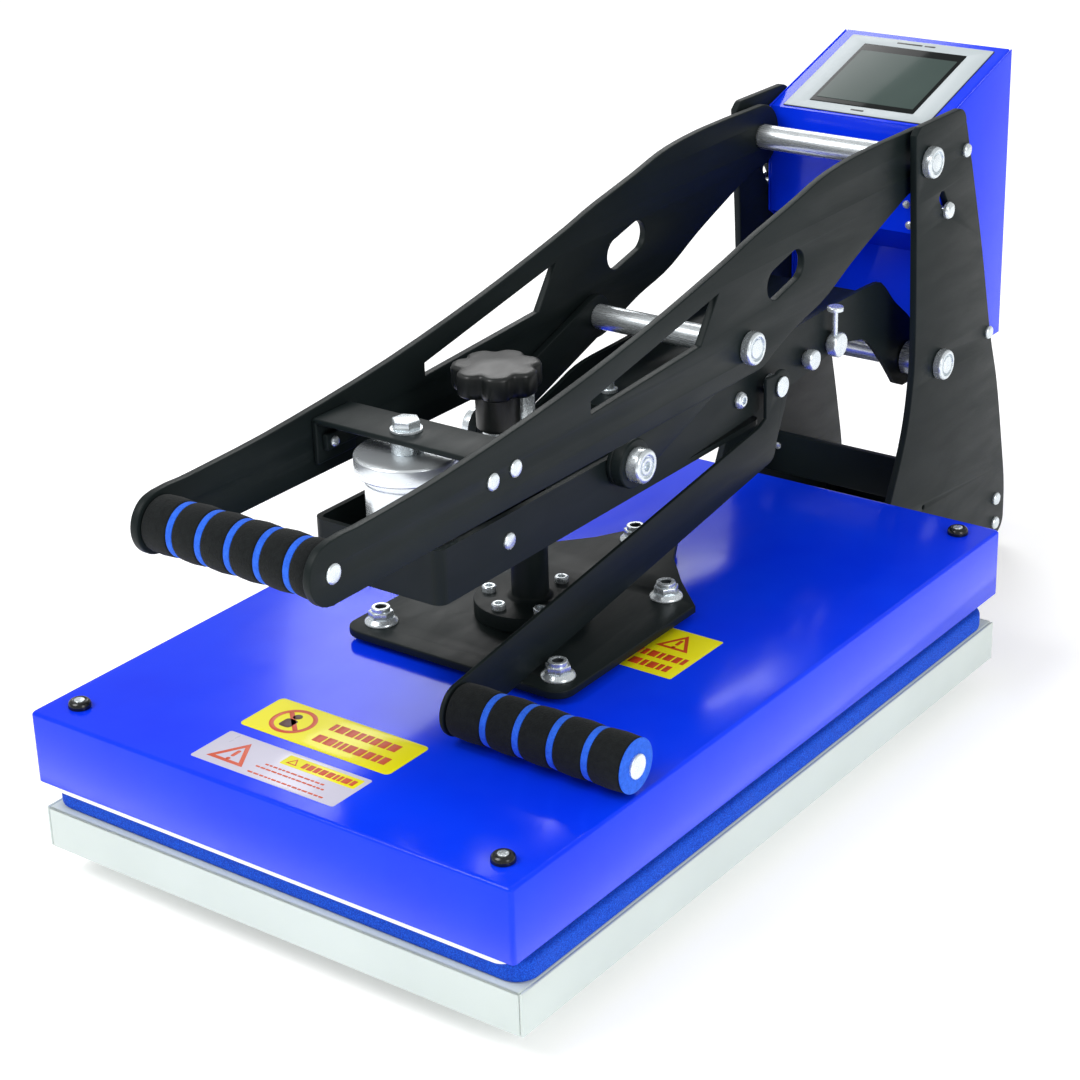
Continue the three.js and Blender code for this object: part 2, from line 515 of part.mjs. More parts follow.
add("lever_pin", turnedX([[wallIn - 6, 0], [wallIn - 6, 8], [wallIn - GAP, 8], [wallIn - GAP, 5],
  [ARM.halfX + GAP, 5], [ARM.halfX + GAP, 8], [LEVER.inner - GAP, 8], [LEVER.inner - GAP, 5],
  [LEVER.outer + 0.4, 5], [LEVER.outer + 0.4, 8], [LEVER.outer + 1.9, 8], [LEVER.outer + 1.9, 0]],
LEVER_PIVOT, ROUND_SMALL + 4), ZINC);
const pinStrap = block(wallIn - 6, wallIn - GAP, STOP_PIN[0] - 9, LOCK_PIN[0] + 9, 224, 240);
const stopPin = sidePin(4, 6, 8, 57, 64, STOP_PIN);
const lockPin = sidePin(5, 7, 10, 57, 65, LOCK_PIN);
add("stop_pins", join(pinStrap, stopPin, lockPin), ZINC);

// ---- platen: adjusting yoke and column, mounting plate, cover, insulation, heating plate, studs ----
const YOKE = { bottom: COLUMN.top + GAP, top: COLUMN.top + GAP + 9 };
const yoke = cut(
  block(-17, 17, 246, 313, YOKE.bottom, YOKE.top),
  rodZ(240, 270, 6 + GAP, 0, KNOB.y, ROUND_SMALL),
  rodZ(240, 270, 5 + GAP, 0, COLUMN.y, ROUND_SMALL),
);
add("yoke_strap", yoke, BLACK);
const mountBottom = MOUNT_PLATE.top - MOUNT_PLATE.thick;
const column = cut(
  turnedZ([[MOUNT_PLATE.top + GAP, 0], [MOUNT_PLATE.top + GAP, COLUMN.flange],
    [MOUNT_PLATE.top + 11, COLUMN.flange], [MOUNT_PLATE.top + 12, COLUMN.flange - 1],
    [MOUNT_PLATE.top + 12, COLUMN.radius], [COLUMN.top, COLUMN.radius], [COLUMN.top, 0]],
  0, COLUMN.y, ROUND_LARGE),
  rodZ(COLUMN.top - 20, COLUMN.top + 1, 5 + GAP, 0, COLUMN.y, ROUND_SMALL),
);
add("column", column, BLACK);
add("column_bolt", turnedZ([[COLUMN.top - 20 + GAP, 0], [COLUMN.top - 20 + GAP, 5], [YOKE.top + GAP, 5],
  [YOKE.top + GAP, 10], [YOKE.top + 3, 10], [YOKE.top + 3, 7.5], [283, 7.5], [284.5, 6], [284.5, 0]],
0, COLUMN.y), ZINC);

const m = MOUNT_PLATE;
const mountShape = new THREE.Shape();
mountShape.moveTo(-m.halfX + 14, m.front);
mountShape.lineTo(m.halfX - 14, m.front);
mountShape.absarc(m.halfX - 14, m.front + 14, 14, -Math.PI / 2, 0, false);
mountShape.lineTo(m.halfX - 2, 366);
mountShape.lineTo(36, 427);
mountShape.lineTo(20, m.rear);
mountShape.lineTo(-20, m.rear);
mountShape.lineTo(-36, 427);
mountShape.lineTo(-m.halfX + 2, 366);
mountShape.lineTo(-m.halfX, m.front + 14);
mountShape.absarc(-m.halfX + 14, m.front + 14, 14, Math.PI, Math.PI * 1.5, false);
const STUD_RADIUS = 5;
const STUD_FLANGE = 12.2;
const studHoles = (z0, z1) => STUDS.map(([x, y]) => rodZ(z0, z1, STUD_RADIUS + GAP, x, y, ROUND_SMALL));
add("mounting_plate", cut(flatPlate(mountShape, mountBottom, m.top, 6), ...studHoles(100, 130)), BLACK);

const capSpots = [["cap_front_left", -181, 24], ["cap_front_right", 181, 24],
  ["cap_rear_left", -181, 602], ["cap_rear_right", 181, 602]];
const CAP = { radius: 8, neck: 4, depth: 6 };
const coverShape = roundedRect(-COVER.halfX, COVER.halfX, COVER.front, COVER.rear, COVER.corner);
const coverEdge = 2;
const coverOuter = new THREE.ExtrudeGeometry(coverShape, { depth: COVER.top - COVER.bottom,
  bevelSize: coverEdge, bevelOffset: -coverEdge, bevelThickness: coverEdge, bevelSegments: 2,
  curveSegments: 3 }).translate(0, 0, COVER.bottom - coverEdge);
const coverShell = cut(
  solid(coverOuter),
  block(-COVER.halfX + COVER.wall, COVER.halfX - COVER.wall, COVER.front + COVER.wall,
    COVER.rear - COVER.wall, 40, COVER.top - COVER.wall),
  block(-210, 210, -10, 640, 40, COVER.bottom),
  ...studHoles(100, 110),
  ...capSpots.map(([, x, y]) => rodZ(100, 110, CAP.neck + GAP, x, y, ROUND_SMALL)),
);
add("cover", coverShell, BLUE);
const h = HEATER;
const insideX = COVER.halfX - COVER.wall;
const wool = cut(
  block(-insideX + 1, insideX - 1, COVER.front + 3, COVER.rear - 3,
    h.top + GAP, COVER.top - COVER.wall - GAP),
  ...studHoles(h.top - 5, 110),
  ...capSpots.map(([, x, y]) =>
    rodZ(COVER.top - COVER.wall - CAP.depth - 3, 110, CAP.neck + 1, x, y, ROUND_SMALL)),
);
add("insulation", wool, WOOL);
add("heater_plate", flatPlate(roundedRect(-COVER.halfX + h.inset, COVER.halfX - h.inset,
  COVER.front + h.inset, COVER.rear - h.inset, h.corner), h.bottom, h.top, 5), ALUMINIUM);
for (const [name, x, y] of capSpots) {
  const seat = COVER.top + GAP;
  add(name, turnedZ([[COVER.top - COVER.wall - CAP.depth, 0], [COVER.top - COVER.wall - CAP.depth, CAP.neck],
    [seat, CAP.neck], [seat, CAP.radius], [seat + 2.5, CAP.radius], [seat + 5, 5.5], [seat + 6, 0]],
  x, y, ROUND_SMALL), RUBBER);
}
for (const [i, [x, y]] of STUDS.entries()) {
  const washer = m.top + GAP;
  const stud = join(
    turnedZ([[h.top + GAP, 0], [h.top + GAP, STUD_RADIUS], [washer, STUD_RADIUS], [washer, STUD_FLANGE],
      [washer + 2, STUD_FLANGE], [washer + 2, 0]], x, y, ROUND_SMALL + 4),
    hexZ(washer + 1.5, washer + 9.5, 17, x, y),
    rodZ(washer + 1, washer + 12, STUD_RADIUS, x, y, ROUND_SMALL),
  );
  add(`platen_stud_${i + 1}`, stud, ZINC);
}

// ---- pressure knob and its threaded spindle ----
function knobOutline() {
  const shape = new THREE.Shape();
  const points = [];
  const steps = KNOB.lobes * 8;
  for (let i = 0; i < steps; i++) {
    const turn = (i / steps) * Math.PI * 2;
    const radius = KNOB.radius - 2.4 + 2.4 * Math.cos(turn * KNOB.lobes);
    points.push([radius * Math.cos(turn), KNOB.y + radius * Math.sin(turn)]);
  }
  points.forEach(([x, y], i) => (i ? shape.lineTo(x, y) : shape.moveTo(x, y)));
  return shape;
}
const lobes = flatPlate(knobOutline(), KNOB.bottom, KNOB.top - 3);
const dome = turnedZ([[KNOB.bottom - 1, 0], [KNOB.bottom - 1, KNOB.radius + 1],
  [KNOB.top - 8, KNOB.radius + 1], [KNOB.top - 3, KNOB.radius - 4],
  [KNOB.top - 0.8, KNOB.radius - 14], [KNOB.top, 0]], 0, KNOB.y, ROUND_LARGE);
const knobCap = turnedZ([[KNOB.top - 6, 0], [KNOB.top - 6, 22], [KNOB.top - 1.6, 19],
  [KNOB.top, 0]], 0, KNOB.y);
const knobHub = turnedZ([[YOKE.top + 8, 0], [YOKE.top + 8, 11], [276, 12.5], [280, 18], [KNOB.bottom + 2, 20],
  [KNOB.bottom + 2, 0]], 0, KNOB.y);
const spindleHole = rodZ(240, KNOB.bottom + 8, 6 + GAP, 0, KNOB.y, ROUND_SMALL);
const knob = cut(join(lobes.intersect(dome), knobCap, knobHub), spindleHole);
add("pressure_knob", knob, PLASTIC);
add("knob_spindle", turnedZ([[196, 0], [196, 5], [197, 6], [YOKE.top + GAP, 6], [YOKE.top + GAP, 11],
  [YOKE.top + 7.7, 11], [YOKE.top + 7.7, 6], [KNOB.bottom + 7, 6], [KNOB.bottom + 7, 0]], 0, KNOB.y), ZINC);

// ---- release lever with its own foam grip ----
const LEVER_SLOPE = 0.163;
const leverTop = (y) => 207 - (515 - y) * LEVER_SLOPE;
function leverShape() {
  const shape = new THREE.Shape();
  const [gy, gz] = [LEVER_GRIP.y, LEVER_GRIP.z];
  const rise = degrees(9.3);
  const end = LEVER.depth / 2;
  shape.moveTo(gy + end * Math.sin(rise), gz - end * Math.cos(rise));
  shape.lineTo(512, leverTop(512) - LEVER.depth + 2);
  shape.quadraticCurveTo(523, leverTop(515) - LEVER.depth + 3, 523, leverTop(515) - LEVER.depth + 14);
  shape.lineTo(541, 222);
  shape.absarc(LEVER_PIVOT[0], LEVER_PIVOT[1], 13, degrees(-28), degrees(120), false);
  shape.lineTo(509, 240);
  shape.lineTo(509, leverTop(509) + 3);
  shape.lineTo(498, leverTop(498));
  shape.lineTo(gy - end * Math.sin(rise), gz + end * Math.cos(rise));
  shape.absarc(gy, gz, end, Math.PI / 2 + rise, Math.PI * 1.5 + rise, false);
  return shape;
}
const grip = LEVER_GRIP;
const leverBar = cut(
  sidePlate(leverShape(), LEVER.inner, LEVER.outer, 8),
  rodX(50, 70, 5 + GAP, LEVER_PIVOT, ROUND_SMALL),
  rodX(50, 70, 4 + GAP, [grip.y, grip.z], ROUND_SMALL),
);
add("lever_bar", leverBar, BLACK);
add("lever_rod", turnedX([[59, 0], [59, 6.5], [LEVER.inner - GAP, 6.5], [LEVER.inner - GAP, 4],
  [LEVER.outer + GAP, 4], [LEVER.outer + GAP, 11], [grip.to - 3, 11], [grip.to - 3, 8], [grip.to + 2, 8],
  [grip.to + 2, 0]], [grip.y, grip.z]), ZINC);
add("lever_foam", turnedX([[grip.from + 1, 11 + GAP], [grip.from + 1, grip.radius - 1.5],
  [grip.from + 2.5, grip.radius], [grip.to - 1.5, grip.radius], [grip.to, grip.radius - 1.5],
  [grip.to, 8 + GAP], [grip.to - 3 + GAP, 8 + GAP], [grip.to - 3 + GAP, 11 + GAP],
  [grip.from + 1, 11 + GAP]], [grip.y, grip.z], ROUND_LARGE), FOAM);

// The whole press stands with the centre of its bounding box above the origin and its feet on Z = 0.
const bounds = new THREE.Box3().setFromObject(group);
const middle = bounds.getCenter(new THREE.Vector3());
for (const mesh of group.children) mesh.position.set(-middle.x, -middle.y, -bounds.min.z);

export default group;
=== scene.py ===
import math
import random

import bmesh
import bpy
from mathutils import Matrix, Vector


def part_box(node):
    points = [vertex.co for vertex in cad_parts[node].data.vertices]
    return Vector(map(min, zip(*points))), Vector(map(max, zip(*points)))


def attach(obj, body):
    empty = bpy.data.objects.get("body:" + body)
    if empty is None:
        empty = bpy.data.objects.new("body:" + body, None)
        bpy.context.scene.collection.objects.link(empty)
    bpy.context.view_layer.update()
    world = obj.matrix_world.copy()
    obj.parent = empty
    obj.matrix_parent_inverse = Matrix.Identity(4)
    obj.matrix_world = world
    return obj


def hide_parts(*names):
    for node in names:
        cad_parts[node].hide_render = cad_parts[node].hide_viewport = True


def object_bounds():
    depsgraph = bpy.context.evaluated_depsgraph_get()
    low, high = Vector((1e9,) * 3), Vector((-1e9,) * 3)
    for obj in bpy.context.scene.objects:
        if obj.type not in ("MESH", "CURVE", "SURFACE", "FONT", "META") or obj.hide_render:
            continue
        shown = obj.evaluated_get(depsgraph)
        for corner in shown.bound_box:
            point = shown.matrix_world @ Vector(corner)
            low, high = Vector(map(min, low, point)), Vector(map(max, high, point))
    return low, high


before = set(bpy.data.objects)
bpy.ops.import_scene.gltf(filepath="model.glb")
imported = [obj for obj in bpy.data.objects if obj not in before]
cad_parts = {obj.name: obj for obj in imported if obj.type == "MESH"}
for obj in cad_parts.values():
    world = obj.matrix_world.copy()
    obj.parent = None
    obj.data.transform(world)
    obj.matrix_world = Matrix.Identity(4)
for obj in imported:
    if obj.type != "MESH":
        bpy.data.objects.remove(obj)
cad_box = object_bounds()
scene = bpy.context.scene
MM = 0.001

# Drawing frame, in mm: X from the centre plane, Y from the cover's front face, Z from the bed's
# bottom edge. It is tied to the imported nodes, so every piece lands where the CAD says.
cover_lo, cover_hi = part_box("cover")
tray_lo, tray_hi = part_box("bed_tray")
ORIGIN = Vector(((cover_lo.x + cover_hi.x) / 2, cover_lo.y, tray_lo.z))

# The photograph's camera: lens and sensor in mm, place in the drawing frame, angles in degrees.
LENS, SENSOR = 83.644, 36.0
CAMERA_PLACE = (989.80, -995.47, 894.60)
CAMERA_AZIMUTH, CAMERA_ELEVATION, CAMERA_ROLL = 37.185, 23.917, -1.846

SIDES = (("left", -1), ("right", 1))
CORNERS = ("front_left", "front_right", "rear_left", "rear_right")


def at(x, y, z):
    """A place of the drawing frame as a scene position in metres."""
    return ORIGIN + Vector((x, y, z)) * MM


def span(node):
    """Lowest and highest corner of a node's box in the drawing frame, in mm."""
    lo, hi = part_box(node)
    return (lo - ORIGIN) / MM, (hi - ORIGIN) / MM


def mid(node):
    """Centre of a node's box in the drawing frame, in mm."""
    lo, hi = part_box(node)
    return ((lo + hi) / 2 - ORIGIN) / MM


# ------------ camera, lights, floor
def make_camera():
    data = bpy.data.cameras.new("camera")
    data.lens = LENS
    data.sensor_width = SENSOR
    data.clip_end = 50
    obj = bpy.data.objects.new("camera", data)
    scene.collection.objects.link(obj)
    az, el, roll = (math.radians(turn) for turn in (CAMERA_AZIMUTH, CAMERA_ELEVATION, CAMERA_ROLL))
    back = Vector((math.sin(az) * math.cos(el), -math.cos(az) * math.cos(el), math.sin(el)))
    level = Vector((math.cos(az), math.sin(az), 0))
    upright = back.cross(level)
    right = level * math.cos(roll) + upright * math.sin(roll)
    up = upright * math.cos(roll) - level * math.sin(roll)
    turn = Matrix((right, up, back)).transposed().to_4x4()
    obj.matrix_world = Matrix.Translation(at(*CAMERA_PLACE)) @ turn
    scene.camera = obj


def area_light(name, spot, target, size, energy):
    data = bpy.data.lights.new(name, "AREA")
    data.shape = "RECTANGLE"
    data.size, data.size_y = size
    data.energy = energy
    obj = bpy.data.objects.new(name, data)
    scene.collection.objects.link(obj)
    obj.location = spot
    direction = Vector(target) - Vector(spot)
    obj.rotation_euler = direction.to_track_quat("-Z", "Y").to_euler()


def make_floor(half=14, drop=0.0004):
    """A pale, faintly glowing floor just under the feet; half its side and its drop in metres."""
    z = cad_box[0].z - drop
    mesh = bpy.data.meshes.new("floor")
    corners = [(-half, -half, z), (half, -half, z), (half, half, z), (-half, half, z)]
    mesh.from_pydata(corners, [], [(0, 1, 2, 3)])
    floor = bpy.data.objects.new("floor", mesh)
    scene.collection.objects.link(floor)
    mat = bpy.data.materials.new("floor_pale")
    mat.use_nodes = True
    shader = mat.node_tree.nodes["Principled BSDF"]
    shader.inputs["Base Color"].default_value = (0.95, 0.95, 0.95, 1)
    shader.inputs["Roughness"].default_value = 0.9
    shader.inputs["Emission Color"].default_value = (1, 1, 1, 1)
    shader.inputs["Emission Strength"].default_value = 0.34
    mesh.materials.append(mat)


def make_stage():
    world = bpy.data.worlds.new("studio")
    scene.world = world
    world.use_nodes = True
    surround = world.node_tree.nodes["Background"]
    surround.inputs["Color"].default_value = (1, 1, 1, 1)
    surround.inputs["Strength"].default_value = 0.56
    area_light("key", (-1.0, -1.9, 2.6), (0, 0, 0.2), (1.5, 1.5), 52)
    area_light("side", (2.7, -0.9, 1.5), (0, 0.1, 0.2), (1.0, 1.6), 30)
    area_light("rear", (-1.6, 2.0, 2.0), (0, 0.1, 0.2), (1.2, 1.0), 16)
    make_floor()
    scene.view_settings.view_transform = "Standard"


# ------------ materials
class Nodes:
    """A small builder for one procedural material."""

    def __init__(self, name):
        self.mat = bpy.data.materials.new(name)
        self.mat.use_nodes = True
        self.tree = self.mat.node_tree
        self.shader = self.tree.nodes["Principled BSDF"]
        self.coord = self.tree.nodes.new("ShaderNodeTexCoord")

    def new(self, kind, **settings):
        node = self.tree.nodes.new(kind)
        for key, value in settings.items():
            setattr(node, key, value)
        return node

    def link(self, a, b):
        self.tree.links.new(a, b)

    def mapped(self, scale):
        node = self.new("ShaderNodeMapping")
        node.inputs["Scale"].default_value = scale
        self.link(self.coord.outputs["Object"], node.inputs["Vector"])
        return node.outputs["Vector"]

    def noise(self, scale, detail=4, rough=0.55, vector=None, distortion=0.0):
        node = self.new("ShaderNodeTexNoise")
        node.inputs["Scale"].default_value = scale
        node.inputs["Detail"].default_value = detail
        node.inputs["Roughness"].default_value = rough
        node.inputs["Distortion"].default_value = distortion
        self.link(vector or self.coord.outputs["Object"], node.inputs["Vector"])
        return node.outputs["Fac"]

    def voronoi(self, scale):
        node = self.new("ShaderNodeTexVoronoi")
        node.inputs["Scale"].default_value = scale
        self.link(self.coord.outputs["Object"], node.inputs["Vector"])
        return node.outputs["Distance"]

    def map(self, value, a0, a1, b0, b1):
        node = self.new("ShaderNodeMapRange")
        for key, number in (("From Min", a0), ("From Max", a1), ("To Min", b0), ("To Max", b1)):
            node.inputs[key].default_value = number
        self.link(value, node.inputs["Value"])
        return node.outputs["Result"]

    def mix(self, fac, a, b):
        node = self.new("ShaderNodeMix", data_type="RGBA")
        for socket, value in ((node.inputs["Factor"], fac), (node.inputs[6], a), (node.inputs[7], b)):
            if isinstance(value, tuple):
                socket.default_value = (*value, 1)
            else:
                self.link(value, socket)
        return node.outputs[2]

    def add(self, a, b, factor):
        """a + b * factor."""
        node = self.new("ShaderNodeMath", operation="MULTIPLY_ADD")
        self.link(b, node.inputs[0])
        node.inputs[1].default_value = factor
        self.link(a, node.inputs[2])
        return node.outputs[0]

    def bump(self, height, strength, distance):
        node = self.new("ShaderNodeBump")
        node.inputs["Strength"].default_value = strength
        node.inputs["Distance"].default_value = distance
        self.link(height, node.inputs["Height"])
        self.link(node.outputs["Normal"], self.shader.inputs["Normal"])

    def set(self, **values):
        for key, value in values.items():
            self.shader.inputs[key.replace("_", " ")].default_value = value

    def color(self, socket):
        self.link(socket, self.shader.inputs["Base Color"])

    def roughness(self, socket):
        self.link(socket, self.shader.inputs["Roughness"])


def paint(name, dark, light, rough, peel, coat=0.0, wear=None, spec=0.5):
    """Sprayed or powder-coated paint: slight tone drift, orange peel, handling marks in the gloss.

    peel is (scale, strength, depth in mm) and wear is (colour, share)."""
    n = Nodes(name)
    drift = n.noise(9, 3)
    color = n.mix(n.map(drift, 0.3, 0.7, 0, 1), dark, light)
    if wear:
        worn = n.map(n.noise(320, 6, 0.7), 0.68, 0.78, 0, wear[1])
        color = n.mix(worn, color, wear[0])
    n.color(color)
    marks = n.noise(60, 5, 0.6, n.mapped((1, 0.25, 1)), 0.4)
    n.roughness(n.map(marks, 0.3, 0.75, rough[0], rough[1]))
    fine = n.add(n.noise(peel[0], 2), n.noise(peel[0] * 3.1, 2), 0.4)
    n.bump(fine, peel[1], peel[2] * MM)
    n.set(Coat_Weight=coat, Coat_Roughness=0.06, Specular_IOR_Level=spec)
    return n.mat


def metal(name, dark, light, rough, grain, stretch=(1, 1, 1), clouds=130):
    """Plated or bare metal: cloudy plating, fine drawn grain."""
    n = Nodes(name)
    cloud = n.noise(clouds, 5, 0.65, n.mapped(stretch))
    n.color(n.mix(n.map(cloud, 0.3, 0.72, 0, 1), dark, light))
    streak = n.noise(grain, 3, 0.6, n.mapped(stretch))
    n.roughness(n.map(streak, 0.3, 0.7, rough[0], rough[1]))
    n.bump(streak, 0.06, 0.03 * MM)
    n.set(Metallic=0.7)
    return n.mat


def foam_look(name, base, light, pores=900):
    """Closed-cell foam: a matt, pitted skin with a faint sheen."""
    n = Nodes(name)
    cells = n.voronoi(pores)
    mottled = n.noise(240, 5, 0.7)
    n.color(n.mix(n.map(mottled, 0.35, 0.7, 0, 1), base, light))
    n.roughness(n.map(mottled, 0.3, 0.7, 0.86, 0.98))
    n.bump(n.add(cells, mottled, 0.8), 0.85, 0.34 * MM)
    n.set(Sheen_Weight=0.05, Sheen_Roughness=0.5, Specular_IOR_Level=0.18)
    return n.mat


def silicone_look():
    """The pad's blue silicone foam: a speckled, matt, finely pitted skin."""
    n = Nodes("blue_silicone")
    speck = n.noise(1100, 4, 0.85)
    broad = n.noise(50, 3)
    n.color(n.mix(n.map(speck, 0.38, 0.66, 0, 1), (0.0015, 0.020, 0.36), (0.015, 0.150, 0.90)))
    n.roughness(n.map(broad, 0.3, 0.7, 0.7, 0.85))
    n.bump(speck, 0.7, 0.3 * MM)
    n.set(Specular_IOR_Level=0.2)
    return n.mat


def make_materials():
    m = {}
    m["blue"] = paint("blue_paint", (0.0015, 0.034, 0.90), (0.003, 0.048, 0.97), (0.12, 0.20),
                      (420, 0.10, 0.06), coat=0.05, spec=0.17)
    m["black"] = paint("black_powder", (0.0075, 0.0115, 0.0118), (0.0110, 0.0165, 0.0168), (0.36, 0.50),
                       (1500, 0.32, 0.09), wear=((0.035, 0.045, 0.045), 0.3), spec=0.13)
    m["pale"] = paint("pale_paint", (0.60, 0.67, 0.64), (0.65, 0.72, 0.69), (0.34, 0.46),
                      (700, 0.15, 0.05), spec=0.3)
    m["zinc"] = metal("zinc_plate", (0.66, 0.72, 0.75), (0.84, 0.90, 0.93), (0.18, 0.32), 420)
    m["turned"] = metal("zinc_turned", (0.74, 0.79, 0.82), (0.88, 0.93, 0.96), (0.20, 0.28), 260,
                        (0.15, 0.15, 5), 24)
    m["rod"] = metal("zinc_rod", (0.55, 0.60, 0.63), (0.84, 0.88, 0.90), (0.18, 0.36), 1400, (0.06, 1, 1))
    m["heater"] = metal("heater_aluminium", (0.84, 0.86, 0.86), (0.95, 0.95, 0.95), (0.35, 0.5), 1100,
                        (1, 0.08, 1))
    # Painted shade: a dark metal that fills the studs' hollow ends in place of the shade deep in them.
    m["socket_painted_shade"] = metal("socket_painted_shade", (0.04, 0.045, 0.05), (0.10, 0.11, 0.12), (0.3, 0.45), 900)
    m["foam"] = foam_look("black_foam", (0.0042, 0.0055, 0.006), (0.0105, 0.0130, 0.0135))
    m["ring"] = foam_look("blue_foam", (0.018, 0.110, 0.66), (0.034, 0.165, 0.88))
    m["pad"] = silicone_look()
    m["rubber"] = paint("black_rubber", (0.004, 0.005, 0.005), (0.008, 0.009, 0.009), (0.18, 0.30),
                        (900, 0.1, 0.05))
    m["foot"] = paint("foot_rubber", (0.010, 0.010, 0.010), (0.02, 0.02, 0.02), (0.6, 0.75), (900, 0.3, 0.08))
    m["plastic"] = paint("black_plastic", (0.0055, 0.007, 0.007), (0.009, 0.011, 0.011), (0.30, 0.44),
                         (1100, 0.35, 0.07), spec=0.42)
    m["bezel"] = paint("bezel_grey", (0.50, 0.56, 0.58), (0.56, 0.62, 0.65), (0.40, 0.52),
                       (1600, 0.2, 0.03), spec=0.3)
    m["line"] = paint("bezel_line", (0.02, 0.02, 0.024), (0.03, 0.03, 0.034), (0.35, 0.45),
                      (1200, 0.1, 0.03), spec=0.3)
    m["glass"] = paint("screen_glass", (0.012, 0.014, 0.014), (0.016, 0.018, 0.018), (0.07, 0.11),
                       (60, 0.02, 0.03), spec=0.03)
    m["lcd"] = paint("lcd_panel", (0.060, 0.085, 0.078), (0.072, 0.100, 0.092), (0.10, 0.15),
                     (60, 0.02, 0.03), spec=0.03)
    m["yellow"] = paint("label_yellow", (0.86, 0.80, 0.004), (0.93, 0.87, 0.008), (0.30, 0.42),
                        (500, 0.1, 0.03), coat=0.2, spec=0.3)
    m["pink"] = paint("label_pink", (0.56, 0.55, 0.68), (0.66, 0.64, 0.76), (0.26, 0.4),
                      (500, 0.1, 0.03), coat=0.2, spec=0.3)
    m["red"] = paint("print_red", (0.56, 0.05, 0.008), (0.66, 0.08, 0.012), (0.35, 0.45), (600, 0.05, 0.02))
    m["ink"] = paint("print_black", (0.06, 0.012, 0.012), (0.09, 0.02, 0.02), (0.4, 0.5), (600, 0.05, 0.02))
    m["wool"] = foam_look("mineral_wool", (0.5, 0.46, 0.34), (0.66, 0.62, 0.48), 500)
    m["board"] = paint("circuit_board", (0.01, 0.07, 0.03), (0.02, 0.10, 0.04), (0.35, 0.5), (700, 0.2, 0.05))
    return m


# ------------ mesh tools
def finish_piece(name, bm, body, mat, replaces=(), sharp=32):
    """Makes a piece with its material, shading and body, in place of any CAD nodes it replaces."""
    bmesh.ops.recalc_face_normals(bm, faces=bm.faces)
    mesh = bpy.data.meshes.new(name)
    bm.to_mesh(mesh)
    bm.free()
    obj = bpy.data.objects.new(name, mesh)
    scene.collection.objects.link(obj)
    mesh.materials.append(mat)
    for polygon in mesh.polygons:
        polygon.use_smooth = True
    mesh.set_sharp_from_angle(angle=math.radians(sharp))
    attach(obj, body)
    if replaces:
        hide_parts(*replaces)
    return obj


def dress_node(name, mat, edge=0.0, limit=30):
    """Shows a CAD node itself in a material, with its edges (width in mm) softened where asked."""
    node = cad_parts[name]
    node.data.materials.clear()
    node.data.materials.append(mat)
    if edge:
        bevel = node.modifiers.new("edge", "BEVEL")
        bevel.width = edge * MM
        bevel.segments = 2
        bevel.limit_method = "ANGLE"
        bevel.angle_limit = math.radians(limit)


def place(axis, centre, along, u, v):
    """A point beside an axis through centre: along it, and u and v across it."""
    if axis == "X":
        return at(centre[0] + along, centre[1] + u, centre[2] + v)
    if axis == "Y":
        return at(centre[0] + u, centre[1] + along, centre[2] + v)
    return at(centre[0] + u, centre[1] + v, centre[2] + along)


def add_lathe(bm, profile, axis, centre, segments, lobes=None):
    """Turns [along, radius] pairs (mm) about an axis through centre (mm, drawing frame)."""
    rings = []
    for along, radius in profile:
        if radius < 1e-6:
            rings.append([bm.verts.new(place(axis, centre, along, 0, 0))])
            continue
        ring = []
        for i in range(segments):
            turn = 2 * math.pi * i / segments
            r = radius * (lobes(turn, along) if lobes else 1)
            ring.append(bm.verts.new(place(axis, centre, along, r * math.cos(turn), r * math.sin(turn))))
        rings.append(ring)
    for a, b in zip(rings, rings[1:]):
        if len(a) == 1 and len(b) == 1:
            continue
        for i in range(segments):
            k = (i + 1) % segments
            if len(a) == 1:
                bm.faces.new((a[0], b[i], b[k]))
            elif len(b) == 1:
                bm.faces.new((a[i], b[0], a[k]))
            else:
                bm.faces.new((a[i], b[i], b[k], a[k]))


def soft_profile(points, radius=0.5, steps=3):
    """Rounds the corners of a lathe profile."""
    out = []
    for i, (a, r) in enumerate(points):
        if i in (0, len(points) - 1) or radius <= 0:
            out.append((a, r))
            continue
        c = Vector((a, r))
        before, after = Vector(points[i - 1]) - c, Vector(points[i + 1]) - c
        if before.length < 1e-6 or after.length < 1e-6 or before.angle(after) > math.radians(165):
            out.append((a, r))
            continue
        cut = min(radius, before.length * 0.45, after.length * 0.45)
        start, end = c + before.normalized() * cut, c + after.normalized() * cut
        for k in range(steps + 1):
            t = k / steps
            w = start * (1 - t) ** 2 + c * 2 * t * (1 - t) + end * t * t
            out.append((w.x, w.y))
    return out


def lathe(name, profile, axis, centre, body, mat, replaces=(), segments=48, rounding=0.5):
    """One turned piece."""
    bm = bmesh.new()
    add_lathe(bm, soft_profile(profile, rounding), axis, centre, segments)
    return finish_piece(name, bm, body, mat, replaces)


def mirrored(profile, sign):
    """A profile along X, on the side that sign names."""
    return [(sign * along, radius) for along, radius in profile]


def add_box(bm, x0, x1, y0, y1, z0, z1, bevel, segments=3):
    """A block between two corners (mm), with rounded edges."""
    made = bmesh.ops.create_cube(bm, size=1)["verts"]
    for v in made:
        v.co = at(x0 if v.co.x < 0 else x1, y0 if v.co.y < 0 else y1, z0 if v.co.z < 0 else z1)
    edges = {e for v in made for e in v.link_edges}
    bmesh.ops.bevel(bm, geom=list(edges), offset=bevel * MM, segments=segments, profile=0.5,
                    affect="EDGES", clamp_overlap=True, material=-1)


def bridge(bm, rings):
    """Skins a stack of equal rings of vertices, each to the next."""
    for a, b in zip(rings, rings[1:]):
        for i in range(len(a)):
            k = (i + 1) % len(a)
            bm.faces.new((a[i], a[k], b[k], b[i]))


